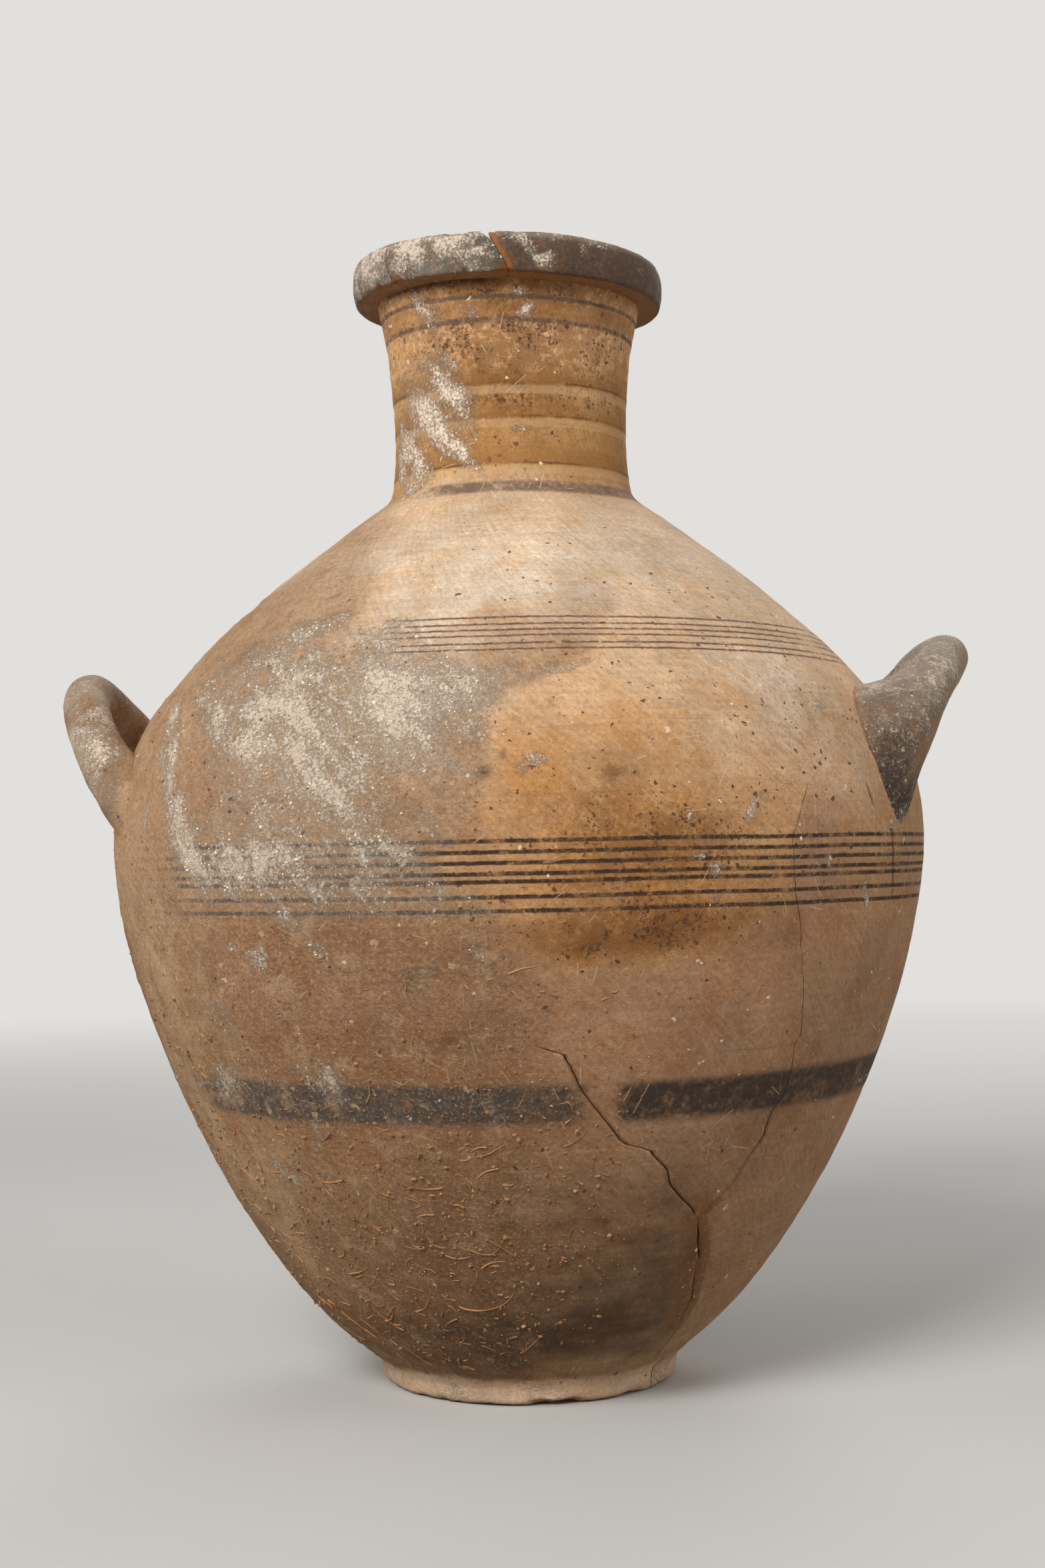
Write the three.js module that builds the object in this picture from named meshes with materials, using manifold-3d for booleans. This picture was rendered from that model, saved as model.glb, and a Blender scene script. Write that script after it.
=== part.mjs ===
// A large painted water jar: a round body on a ring foot, a tall neck with a heavy rim,
// two upright loop handles on the sides and one strap handle at the back.
// It was thrown and joined in sections, broke, and was mended from its sherds.
// Millimetres, +Z up. The origin is the centre of the foot, on the ground.
// Angles around the axis are in degrees, from the front (-Y) towards the right handle (+X).

import * as THREE from 'three';
import { mergeVertices } from 'three/addons/utils/BufferGeometryUtils.js';
import Module from 'manifold-3d';

const wasm = await Module();
wasm.setup();

// Heights of the sections, from the ground up
const FOOT_HEIGHT = 9;
const LOWER_BODY_HEIGHT = 241;
const SHOULDER_RISE = 158;
const NECK_LENGTH = 93;
const RIM_HEIGHT = 19;

// Radii of the outline
const FOOT_RADIUS = 67;
const BELLY_RADIUS = 188.3;
const NECK_BASE_RADIUS = 57.5;
const NECK_TOP_RADIUS = 61;
const RIM_OVERHANG = 12.2;

// How strongly the outline bends between those radii
const LOWER_START_ANGLE = 33;
const LOWER_START_PULL = 80;
const LOWER_END_PULL = 67;
const UPPER_START_PULL = 48.5;
const UPPER_END_ANGLE = 35.4;
const UPPER_END_PULL = 120;
const NECK_DRAW_IN = 4.9;
const NECK_START_PULL = 16;
const NECK_END_PULL = 33;

// Walls and the joints between the sections
const BODY_WALL = 8;
const NECK_WALL = 7.5;
const JOINT_GAP = 0.3;
const BELLY_SCARF = 4;
const RIM_SCARF = 3;
const SPIGOT_DEPTH = 6;
const SPIGOT_WALL = 4;

// Ring foot
const FOOT_RING_WIDTH = 17;
const FOOT_SEAT_WIDTH = 11;
const FOOT_RECESS = 6;
const FOOT_EDGE_ROUND = 3.5;

// Rim
const RIM_LOWER_EDGE_INSET = 2.2;
const RIM_CREST_INSET = 6;
const RIM_BULGE = 1.6;
const MOUTH_FLARE = 5;

// Side handles, measured from the belly's greatest radius and its height
const SIDE_HANDLE_RADIUS = 10.6;
const SIDE_HANDLE_ROOT_RADIUS = 15;
const SIDE_HANDLE_SWELL_POWER = 2;
const SIDE_HANDLE_REACH = 15;
const SIDE_HANDLE_HALF_SPAN = 70;
const SIDE_HANDLE_SPLAY = 11;
const SIDE_HANDLE_CORNER = 52;
const SIDE_HANDLE_CORNER_DROP = 22;
const SIDE_HANDLE_CORNER_SETBACK = 18;
const SIDE_HANDLE_TAIL_RISE = 8;
const SIDE_HANDLE_ROOT_RISE = 35;
const SIDE_HANDLE_ROOT_LIFT = 3;
const LEFT_HANDLE_TIP_RISE = 72.5;
const RIGHT_HANDLE_TIP_RISE = 80;

// Back handle, a strap from under the rim down to the shoulder
const STRAP_HALF_WIDTH = 18;
const STRAP_HALF_THICKNESS = 8;
const STRAP_TOP_DROP = 33;
const STRAP_ARCH = 14;
const STRAP_STANDOFF = 80;

// Mended breaks: points of [angle, share of the section's height from its lower end].
// The front edges are the visible cracks, and the back edges are hidden from the front.
const LOWER_BREAK_FRONT = [
  [50, 0], [46, 0.1], [41, 0.22], [36, 0.33], [41.5, 0.4], [45, 0.53], [46, 0.65], [42.5, 0.825], [40, 1],
];
const LOWER_BREAK_BACK = [[136, 1], [128, 0.7], [121, 0.4], [112, 0.18], [118, 0]];
const SHOULDER_BREAK_UP = [[40, 0], [43, 0.11], [58, 0.32], [68, 0.43]];
const SHOULDER_BREAK_DOWN = [[112, 0.43], [122, 0.32], [134, 0.13], [136, 0]];
const FOOT_BREAK_FRONT = 57;
const FOOT_BREAK_BACK = 118;
const RIM_BREAK_FRONT = [[4.5, 0], [-3, 1]];
const RIM_BREAK_MIDDLE = [[-43, 0], [-45.5, 1]];
const RIM_BREAK_BACK = [[-108, 0], [-104, 1]];
const RIM_CHIP_WIDTH = 4;
const RIM_CHIP_DEPTH = 8.5;
const BREAK_GAP = 0.4;

// Fineness of the facets
const TURN_STEPS = 48;
const LOWER_STEPS = 11;
const LOWER_INSIDE_STEPS = 9;
const UPPER_STEPS = 10;
const UPPER_INSIDE_STEPS = 8;
const NECK_STEPS = 7;
const RIM_STEPS = 5;
const EDGE_STEPS = 3;
const SIDE_HANDLE_STEPS = 30;
const STRAP_STEPS = 22;
const HANDLE_SIDES = 14;
const ARC_STEP = 12;

// Fineness of the searches along an outline, and how near corners are that count as one
const SEARCH_STEPS = 40;
const MERGE_DISTANCE = 0.001;

// How far a cut or a hidden end runs past the surface that it crosses
const PAST = 2;

// Heights and a radius that follow from the sections
const bellyHeight = FOOT_HEIGHT + LOWER_BODY_HEIGHT;
const neckBase = bellyHeight + SHOULDER_RISE;
const rimBase = neckBase + NECK_LENGTH;
const jarHeight = rimBase + RIM_HEIGHT;
const rimRadius = NECK_TOP_RADIUS + RIM_OVERHANG;

const point = (radius, height) => new THREE.Vector2(radius, height);
const radians = THREE.MathUtils.degToRad;

// The place at an angle around the axis.
function around(angle, radius, height) {
  const turn = radians(angle);
  return new THREE.Vector3(radius * Math.sin(turn), -radius * Math.cos(turn), height);
}

// The outline of the body below the belly, from the foot up.
function lowerOutline() {
  const start = radians(LOWER_START_ANGLE);
  return new THREE.CubicBezierCurve(
    point(FOOT_RADIUS, FOOT_HEIGHT),
    point(FOOT_RADIUS + LOWER_START_PULL * Math.cos(start), FOOT_HEIGHT + LOWER_START_PULL * Math.sin(start)),
    point(BELLY_RADIUS, bellyHeight - LOWER_END_PULL),
    point(BELLY_RADIUS, bellyHeight),
  );
}

// The outline of the shoulder, from the belly up to the neck.
function upperOutline() {
  const end = radians(UPPER_END_ANGLE);
  return new THREE.CubicBezierCurve(
    point(BELLY_RADIUS, bellyHeight),
    point(BELLY_RADIUS, bellyHeight + UPPER_START_PULL),
    point(NECK_BASE_RADIUS + UPPER_END_PULL * Math.cos(end), neckBase - UPPER_END_PULL * Math.sin(end)),
    point(NECK_BASE_RADIUS, neckBase),
  );
}

// The outline of the neck, drawn in between its base and its top.
function neckOutline() {
  const drawn = NECK_BASE_RADIUS - NECK_DRAW_IN;
  return new THREE.CubicBezierCurve(
    point(NECK_BASE_RADIUS, neckBase),
    point(drawn, neckBase + NECK_START_PULL),
    point(drawn, rimBase - NECK_END_PULL),
    point(NECK_TOP_RADIUS, rimBase),
  );
}

// Points along an outline, moved out by a distance square to it. A negative distance moves in.
function outlinePoints(curve, steps, distance = 0) {
  const points = [];
  for (let i = 0; i <= steps; i += 1) {
    const along = i / steps;
    const tangent = curve.getTangentAt(along);
    const place = curve.getPointAt(along);
    points.push(point(place.x + distance * tangent.y, place.y - distance * tangent.x));
  }
  return points;
}

// The place on an outline where a test that holds near its start stops holding.
function placeOn(curve, holds) {
  let low = 0;
  let high = 1;
  for (let i = 0; i < SEARCH_STEPS; i += 1) {
    const middle = (low + high) / 2;
    if (holds(curve.getPoint(middle))) low = middle;
    else high = middle;
  }
  return curve.getPoint(low);
}

// The body's outer radius at a height.
function bodyRadius(height) {
  const curve = height < bellyHeight ? lowerOutline() : upperOutline();
  return placeOn(curve, (place) => place.y < height).x;
}

// The height at which the shoulder has narrowed to a radius.
function shoulderHeight(radius) {
  return placeOn(upperOutline(), (place) => place.x > radius).y;
}

// A closed solid from a geometry: shared corners are merged and empty triangles dropped.
function solid(geometry) {
  geometry.deleteAttribute('normal');
  geometry.deleteAttribute('uv');
  const merged = mergeVertices(geometry, MERGE_DISTANCE);
  const index = merged.index.array;
  const triangles = [];
  for (let i = 0; i < index.length; i += 3) {
    const [a, b, c] = [index[i], index[i + 1], index[i + 2]];
    if (a !== b && b !== c && c !== a) triangles.push(a, b, c);
  }
  const mesh = new wasm.Mesh({
    numProp: 3,
    vertProperties: new Float32Array(merged.attributes.position.array),
    triVerts: new Uint32Array(triangles),
  });
  return new wasm.Manifold(mesh);
}

// A section turned around the axis. Its outline runs counter-clockwise, and closes on itself
// unless it starts and ends on the axis.
function turned(outline) {
  const closed = outline[0].x > 0 ? [...outline, outline[0]] : outline;
  return solid(new THREE.LatheGeometry(closed, TURN_STEPS).rotateX(Math.PI / 2));
}

// A geometry from corners and triangles.
function geometryOf(corners, triangles) {
  const geometry = new THREE.BufferGeometry();
  geometry.setFromPoints(corners);
  geometry.setIndex(triangles);
  return geometry;
}

// A skin over rings of equally many points, closed by a fan at each end.
function loft(rings) {
  const sides = rings[0].length;
  const corners = rings.flat();
  const triangles = [];
  for (let k = 0; k < rings.length - 1; k += 1) {
    for (let i = 0; i < sides; i += 1) {
      const next = (i + 1) % sides;
      const [a, b] = [k * sides + i, k * sides + next];
      const [c, d] = [b + sides, a + sides];
      triangles.push(a, b, c, a, c, d);
    }
  }
  const last = (rings.length - 1) * sides;
  for (let i = 1; i < sides - 1; i += 1) {
    triangles.push(0, i + 1, i);
    triangles.push(last, last + i, last + i + 1);
  }
  return solid(geometryOf(corners, triangles));
}

// A bar along a path. Its half width and half thickness are functions of the way along it, 0 to 1.
function bar(path, steps, halfWidth, halfThickness) {
  const frames = path.computeFrenetFrames(steps);
  const rings = [];
  for (let k = 0; k <= steps; k += 1) {
    const along = k / steps;
    const centre = path.getPointAt(along);
    const ring = [];
    for (let i = 0; i < HANDLE_SIDES; i += 1) {
      const turn = (2 * Math.PI * i) / HANDLE_SIDES;
      const place = centre.clone();
      place.addScaledVector(frames.normals[k], halfWidth(along) * Math.cos(turn));
      place.addScaledVector(frames.binormals[k], halfThickness(along) * Math.sin(turn));
      ring.push(place);
    }
    rings.push(ring);
  }
  return loft(rings);
}

// An outline of [angle, height] points with long runs around the axis divided.
function divided(outline) {
  const points = [];
  outline.forEach(([angle, height], i) => {
    const [nextAngle, nextHeight] = outline[(i + 1) % outline.length];
    const parts = Math.max(1, Math.ceil(Math.abs(nextAngle - angle) / ARC_STEP));
    for (let k = 0; k < parts; k += 1) {
      const share = k / parts;
      points.push(point(angle + (nextAngle - angle) * share, height + (nextHeight - height) * share));
    }
  });
  return points;
}

// The same outline drawn in by a distance. The wall's inner radius is a function of the height.
function drawnIn(outline, distance, wallRadius) {
  return outline.map(([angle, height], i) => {
    const radius = wallRadius(height);
    const [angleBefore, heightBefore] = outline.at(i - 1);
    const [angleAfter, heightAfter] = outline[(i + 1) % outline.length];
    const arriving = point(radians(angle - angleBefore) * radius, height - heightBefore).normalize();
    const leaving = point(radians(angleAfter - angle) * radius, heightAfter - height).normalize();
    const inward = point(-arriving.y - leaving.y, arriving.x + leaving.x).normalize();
    const slant = inward.y * arriving.x - inward.x * arriving.y;
    const move = inward.multiplyScalar(distance / slant);
    return [angle + THREE.MathUtils.radToDeg(move.x / radius), height + move.y];
  });
}

// The space seen through an outline of [angle, height] points, between two radii.
// The outline runs counter-clockwise as seen from outside.
function radialPrism(outline, innerRadius, outerRadius) {
  const contour = divided(outline);
  const count = contour.length;
  const outer = contour.map((p) => around(p.x, outerRadius, p.y));
  const inner = contour.map((p) => around(p.x, innerRadius, p.y));
  const triangles = [];
  for (const [a, b, c] of THREE.ShapeUtils.triangulateShape(contour, [])) {
    triangles.push(a, b, c);
    triangles.push(count + a, count + c, count + b);
  }
  for (let i = 0; i < count; i += 1) {
    const j = (i + 1) % count;
    triangles.push(i, count + i, count + j);
    triangles.push(i, count + j, j);
  }
  return solid(geometryOf([...outer, ...inner], triangles));
}

// A section parted along a break: what is left of it, and the sherd, with the break's gap between.
function parted(section, outline, innerRadius, outerRadius, wallRadius) {
  const cutter = radialPrism(outline, innerRadius, outerRadius);
  const keeper = radialPrism(drawnIn(outline, BREAK_GAP, wallRadius), innerRadius + BREAK_GAP, outerRadius);
  return { rest: section.subtract(cutter), sherd: section.intersect(keeper) };
}

// Break points at heights between a section's two ends.
function breakLine(points, low, high) {
  return points.map(([angle, share]) => [angle, low + share * (high - low)]);
}

// The wall of the lower body, from its floor on the foot to the scarf at the belly.
function lowerBody() {
  const outer = outlinePoints(lowerOutline(), LOWER_STEPS);
  const inner = outlinePoints(lowerOutline(), LOWER_INSIDE_STEPS, -BODY_WALL).slice(0, -1);
  const floorTop = inner[0].y;
  return turned([
    point(0, FOOT_RECESS),
    point(FOOT_RADIUS - FOOT_SEAT_WIDTH, FOOT_RECESS),
    ...outer,
    point(BELLY_RADIUS - BODY_WALL, bellyHeight + BELLY_SCARF),
    ...inner.reverse(),
    point(0, floorTop),
  ]);
}

// The shoulder, from the scarf at the belly to the seat of the neck.
function shoulder() {
  const outer = outlinePoints(upperOutline(), UPPER_STEPS);
  outer[0].y += JOINT_GAP;
  const inner = outlinePoints(upperOutline(), UPPER_INSIDE_STEPS, -BODY_WALL).slice(1);
  const collar = NECK_BASE_RADIUS - NECK_WALL;
  const lip = inner[inner.length - 1];
  const collarFoot = lip.y + (lip.x - collar) * Math.tan(radians(UPPER_END_ANGLE));
  return turned([
    ...outer,
    point(collar, neckBase),
    point(collar, collarFoot),
    ...inner.reverse(),
    point(BELLY_RADIUS - BODY_WALL, bellyHeight + BELLY_SCARF + JOINT_GAP),
  ]);
}

// The neck, with a spigot below that drops into the shoulder's collar.
function neck() {
  const outer = outlinePoints(neckOutline(), NECK_STEPS);
  outer[0].y += JOINT_GAP;
  const inner = outlinePoints(neckOutline(), NECK_STEPS, -NECK_WALL).slice(1, -1);
  const spigot = NECK_BASE_RADIUS - NECK_WALL - JOINT_GAP;
  return turned([
    ...outer,
    point(NECK_TOP_RADIUS - NECK_WALL, rimBase + RIM_SCARF),
    ...inner.reverse(),
    point(spigot - SPIGOT_WALL, neckBase - SPIGOT_DEPTH),
    point(spigot, neckBase - SPIGOT_DEPTH),
    point(spigot, neckBase + JOINT_GAP),
  ]);
}

// The rim: a heavy ring that overhangs the neck and opens into the mouth.
function rim() {
  const seat = rimBase + JOINT_GAP;
  const mouth = NECK_TOP_RADIUS - NECK_WALL;
  const crest = rimRadius - RIM_CREST_INSET;
  const middle = (seat + jarHeight) / 2;
  const face = new THREE.QuadraticBezierCurve(
    point(rimRadius - RIM_LOWER_EDGE_INSET, seat),
    point(rimRadius + RIM_BULGE, seat),
    point(rimRadius, middle),
  );
  const edge = new THREE.QuadraticBezierCurve(
    point(rimRadius, middle),
    point(rimRadius - RIM_BULGE, jarHeight),
    point(crest, jarHeight),
  );
  const inside = new THREE.QuadraticBezierCurve(
    point(crest, jarHeight),
    point(mouth + MOUTH_FLARE, jarHeight - MOUTH_FLARE / 2),
    point(mouth, seat + RIM_SCARF),
  );
  return turned([
    point(NECK_TOP_RADIUS, seat),
    ...face.getPoints(EDGE_STEPS),
    ...edge.getPoints(RIM_STEPS).slice(1),
    ...inside.getPoints(RIM_STEPS).slice(1),
  ]);
}

// The ring foot. Its top follows the underside of the body.
function foot() {
  const inside = FOOT_RADIUS - FOOT_RING_WIDTH;
  const round = new THREE.QuadraticBezierCurve(
    point(FOOT_RADIUS - FOOT_EDGE_ROUND, 0),
    point(FOOT_RADIUS, 0),
    point(FOOT_RADIUS, FOOT_EDGE_ROUND),
  );
  return turned([
    point(inside, 0),
    ...round.getPoints(EDGE_STEPS),
    point(FOOT_RADIUS, FOOT_HEIGHT - JOINT_GAP),
    point(FOOT_RADIUS - FOOT_SEAT_WIDTH, FOOT_RECESS - JOINT_GAP),
    point(inside, FOOT_RECESS - JOINT_GAP),
  ]);
}

// The body as one filled shape, larger all round by the joint's gap, to seat the handles on.
function bodyEnvelope() {
  return turned([
    point(0, FOOT_HEIGHT),
    ...outlinePoints(lowerOutline(), LOWER_STEPS, JOINT_GAP),
    ...outlinePoints(upperOutline(), UPPER_STEPS, JOINT_GAP).slice(1),
    point(0, neckBase + JOINT_GAP),
  ]);
}

// The neck in the same way.
function neckEnvelope() {
  return turned([
    point(0, neckBase - SPIGOT_DEPTH),
    point(NECK_BASE_RADIUS + JOINT_GAP, neckBase - SPIGOT_DEPTH),
    ...outlinePoints(neckOutline(), NECK_STEPS, JOINT_GAP),
    point(0, rimBase),
  ]);
}

// A loop handle on the right side: each limb rises out of the wall, and the two meet at the tip.
function sideHandle(tipRise, envelope) {
  const reach = BELLY_RADIUS + SIDE_HANDLE_REACH;
  const tip = bellyHeight + tipRise;
  const onWall = (aside, height, out) => {
    const radius = bodyRadius(height) + out;
    return new THREE.Vector3(Math.sqrt(radius * radius - aside * aside), aside, height);
  };
  const limb = (side) => [
    onWall(
      side * (SIDE_HANDLE_HALF_SPAN + SIDE_HANDLE_SPLAY),
      bellyHeight + SIDE_HANDLE_TAIL_RISE,
      -SIDE_HANDLE_ROOT_RADIUS - PAST,
    ),
    onWall(side * SIDE_HANDLE_HALF_SPAN, bellyHeight + SIDE_HANDLE_ROOT_RISE, SIDE_HANDLE_ROOT_LIFT),
    new THREE.Vector3(
      reach - SIDE_HANDLE_CORNER_SETBACK,
      side * SIDE_HANDLE_CORNER,
      tip - SIDE_HANDLE_CORNER_DROP,
    ),
  ];
  const path = new THREE.CatmullRomCurve3(
    [...limb(-1), new THREE.Vector3(reach, 0, tip), ...limb(1).reverse()],
    false,
    'centripetal',
  );
  const swell = SIDE_HANDLE_ROOT_RADIUS - SIDE_HANDLE_RADIUS;
  const radius = (along) => SIDE_HANDLE_RADIUS + swell * Math.abs(2 * along - 1) ** SIDE_HANDLE_SWELL_POWER;
  return bar(path, SIDE_HANDLE_STEPS, radius, radius).subtract(envelope);
}

// The strap handle at the back, from the neck under the rim down to the shoulder.
function backHandle(envelopes) {
  const top = rimBase - STRAP_TOP_DROP;
  const outside = NECK_BASE_RADIUS + STRAP_STANDOFF;
  const footHeight = shoulderHeight(outside - STRAP_HALF_THICKNESS);
  const path = new THREE.CatmullRomCurve3(
    [
      new THREE.Vector3(0, NECK_BASE_RADIUS - NECK_WALL - STRAP_HALF_THICKNESS, top - STRAP_HALF_THICKNESS),
      new THREE.Vector3(0, NECK_BASE_RADIUS + STRAP_STANDOFF / 4, top + STRAP_ARCH / 2),
      new THREE.Vector3(0, NECK_BASE_RADIUS + STRAP_STANDOFF / 2, top + STRAP_ARCH),
      new THREE.Vector3(0, outside - STRAP_HALF_THICKNESS, top - STRAP_ARCH),
      new THREE.Vector3(0, outside, (top + footHeight) / 2),
      new THREE.Vector3(0, outside - STRAP_HALF_THICKNESS / 2, footHeight),
      new THREE.Vector3(0, outside - STRAP_HALF_THICKNESS, footHeight - STRAP_HALF_THICKNESS - PAST),
    ],
    false,
    'centripetal',
  );
  const strap = bar(path, STRAP_STEPS, () => STRAP_HALF_WIDTH, () => STRAP_HALF_THICKNESS);
  return envelopes.reduce((left, envelope) => left.subtract(envelope), strap);
}

// The lower body and its mended sherd on the right.
function lowerPieces() {
  const low = FOOT_HEIGHT;
  const high = bellyHeight;
  const outline = [
    [LOWER_BREAK_BACK.at(-1)[0], FOOT_RECESS - PAST],
    ...breakLine(LOWER_BREAK_BACK, low, high).reverse(),
    [LOWER_BREAK_BACK[0][0], high + BELLY_SCARF + PAST],
    [LOWER_BREAK_FRONT.at(-1)[0], high + BELLY_SCARF + PAST],
    ...breakLine(LOWER_BREAK_FRONT, low, high).reverse(),
    [LOWER_BREAK_FRONT[0][0], FOOT_RECESS - PAST],
  ];
  const seatRadius = FOOT_RADIUS - FOOT_SEAT_WIDTH;
  const wallRadius = (height) => Math.max(seatRadius, bodyRadius(height) - BODY_WALL);
  return parted(lowerBody(), outline, seatRadius, 2 * BELLY_RADIUS, wallRadius);
}

// The shoulder and the sherd that carries the right handle.
function shoulderPieces() {
  const outline = [
    [SHOULDER_BREAK_UP[0][0], bellyHeight - PAST],
    [SHOULDER_BREAK_DOWN.at(-1)[0], bellyHeight - PAST],
    ...breakLine(SHOULDER_BREAK_DOWN, bellyHeight, neckBase).reverse(),
    ...breakLine(SHOULDER_BREAK_UP, bellyHeight, neckBase).reverse(),
  ];
  const wallRadius = (height) => bodyRadius(height) - BODY_WALL;
  return parted(shoulder(), outline, NECK_BASE_RADIUS, 2 * BELLY_RADIUS, wallRadius);
}

// The foot and its sherd.
function footPieces() {
  const outline = [
    [FOOT_BREAK_FRONT, -PAST],
    [FOOT_BREAK_BACK, -PAST],
    [FOOT_BREAK_BACK, FOOT_HEIGHT + PAST],
    [FOOT_BREAK_FRONT, FOOT_HEIGHT + PAST],
  ];
  const inside = FOOT_RADIUS - FOOT_RING_WIDTH;
  return parted(foot(), outline, inside / 2, 2 * FOOT_RADIUS, () => inside);
}

// The rim and its two sherds on the left, with a chip missing at the front break.
function rimPieces() {
  const low = rimBase - PAST;
  const high = jarHeight + PAST;
  const [frontLow, frontHigh] = breakLine(RIM_BREAK_FRONT, low, high);
  const [middleLow, middleHigh] = breakLine(RIM_BREAK_MIDDLE, low, high);
  const [backLow, backHigh] = breakLine(RIM_BREAK_BACK, low, high);
  const mouth = NECK_TOP_RADIUS - NECK_WALL;
  const split = (ring, outline) => parted(ring, outline, mouth / 2, 2 * rimRadius, () => mouth);
  const front = split(rim(), [middleLow, frontLow, frontHigh, middleHigh]);
  const left = split(front.rest, [backLow, middleLow, middleHigh, backHigh]);
  const chipAngle = THREE.MathUtils.radToDeg(RIM_CHIP_WIDTH / rimRadius);
  const chip = radialPrism(
    [
      [frontHigh[0] + chipAngle, jarHeight - RIM_CHIP_DEPTH],
      [frontHigh[0] + chipAngle, high],
      [frontHigh[0] - chipAngle, high],
    ],
    mouth / 2,
    2 * rimRadius,
  );
  return { main: left.rest, front: front.sherd.subtract(chip), left: left.sherd };
}

// A named piece with its colour.
function piece(name, shape, material) {
  const mesh = shape.getMesh();
  const geometry = new THREE.BufferGeometry();
  geometry.setAttribute('position', new THREE.BufferAttribute(mesh.vertProperties, 3));
  geometry.setIndex(new THREE.BufferAttribute(mesh.triVerts, 1));
  geometry.computeVertexNormals();
  const named = new THREE.Mesh(geometry, material);
  named.name = name;
  return named;
}

const clay = (color) => new THREE.MeshStandardMaterial({ color, roughness: 0.85, metalness: 0 });
const tanClay = clay(0xb89068);
const palerClay = clay(0xcdb08c);
const pinkClay = clay(0xb48a6c);
const darkPaint = clay(0x4a433e);
const footClay = clay(0xd2b08e);

const envelope = bodyEnvelope();
const footShapes = footPieces();
const lowerShapes = lowerPieces();
const shoulderShapes = shoulderPieces();
const rimShapes = rimPieces();

const body = new THREE.Group();
body.add(
  piece('foot_ring', footShapes.rest, footClay),
  piece('foot_ring_sherd', footShapes.sherd, footClay),
  piece('lower_body', lowerShapes.rest, tanClay),
  piece('lower_body_sherd', lowerShapes.sherd, pinkClay),
  piece('shoulder', shoulderShapes.rest, palerClay),
  piece('shoulder_sherd', shoulderShapes.sherd, pinkClay),
);

const neckAndRim = new THREE.Group();
neckAndRim.add(
  piece('neck', neck(), tanClay),
  piece('rim_main', rimShapes.main, darkPaint),
  piece('rim_sherd_front', rimShapes.front, darkPaint),
  piece('rim_sherd_left', rimShapes.left, darkPaint),
);

const handles = new THREE.Group();
const leftHandle = piece('side_handle_left', sideHandle(LEFT_HANDLE_TIP_RISE, envelope), tanClay);
leftHandle.rotation.z = Math.PI;
handles.add(
  leftHandle,
  piece('side_handle_right', sideHandle(RIGHT_HANDLE_TIP_RISE, envelope), darkPaint),
  piece('back_handle', backHandle([envelope, neckEnvelope()]), darkPaint),
);

const jar = new THREE.Group();
jar.add(body, neckAndRim, handles);

export default jar;
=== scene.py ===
"""The looks of a large painted water jar, mended from its sherds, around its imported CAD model.

Shapes are made in millimetres and become metres when a mesh is made. Angles are in degrees around
the jar's axis, from the front (-Y) towards the right handle (+X). Noise is called with places, the
size of its lumps in mm and a seed.
"""

import math

import bpy
import numpy as np
from mathutils import Matrix, Vector


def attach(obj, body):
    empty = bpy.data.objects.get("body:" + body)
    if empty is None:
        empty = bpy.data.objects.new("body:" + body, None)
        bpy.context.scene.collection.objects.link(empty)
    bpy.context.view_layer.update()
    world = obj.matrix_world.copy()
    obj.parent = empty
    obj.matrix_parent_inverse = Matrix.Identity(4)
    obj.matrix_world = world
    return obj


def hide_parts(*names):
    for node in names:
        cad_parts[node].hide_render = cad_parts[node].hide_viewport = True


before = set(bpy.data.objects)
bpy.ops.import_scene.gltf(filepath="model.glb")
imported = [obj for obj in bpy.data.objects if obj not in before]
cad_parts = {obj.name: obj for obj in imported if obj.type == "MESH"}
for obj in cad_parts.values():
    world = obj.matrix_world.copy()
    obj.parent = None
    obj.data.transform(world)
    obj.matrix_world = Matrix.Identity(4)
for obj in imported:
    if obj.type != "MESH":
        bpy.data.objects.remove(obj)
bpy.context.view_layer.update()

MM = 0.001

# Heights at which the sections meet
FOOT_TOP = 9.0
BELLY = 250.0
SHERD_TOP = 318.0
NECK_FOOT = 408.0
RIM_FOOT = 501.0
JAR_TOP = 520.0

# Walls
BODY_WALL = 8.0
NECK_WALL = 7.5
OUTLINE_STEP = 0.25
CORNER_SOFTNESS = 3.5

# Fineness of the meshes: each inside row spans so many outside rows, and a crack has four narrow columns
ROW_STEP = 2.0
NECK_ROW_STEP = 1.45
INSIDE_ROWS = 4
COLUMNS_LEFT = 374
COLUMNS_FRONT = 56
COLUMNS_SHERD_NEAR = 30
COLUMNS_SHERD_FAR = 92
CRACK_COLUMNS = (1, 1, 1, 1)
CRACK_MIDDLE = 2
CRACK_MARGIN = 2.4
HANDLE_SIDES = 40
HANDLE_RINGS = 120
STRAP_RINGS = 110
FLOOR_SIDES = 96
RIM_FRONT_COLUMNS = 60
RIM_LEFT_COLUMNS = 80
RIM_RING_COLUMNS = 400
FOOT_COLUMNS = 260
FOOT_CHIP_COLUMNS = 56
SHARP_ANGLE = 42.0

# Kinds of a wall's faces, which are also the numbers of their materials
OUTSIDE = 0
EDGE = 1
INSIDE = 2

# Broken ends: how far in their rings lie, as shares of the section, and how rough they are in mm
CAP_RINGS = (0.82, 0.6, 0.35, 0.12)
CAP_ROUGHNESS = 0.5

# How far the rim leans down to the right, in mm of drop per mm
RIM_LEAN = 0.035
LEAN_START = 430.0

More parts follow.
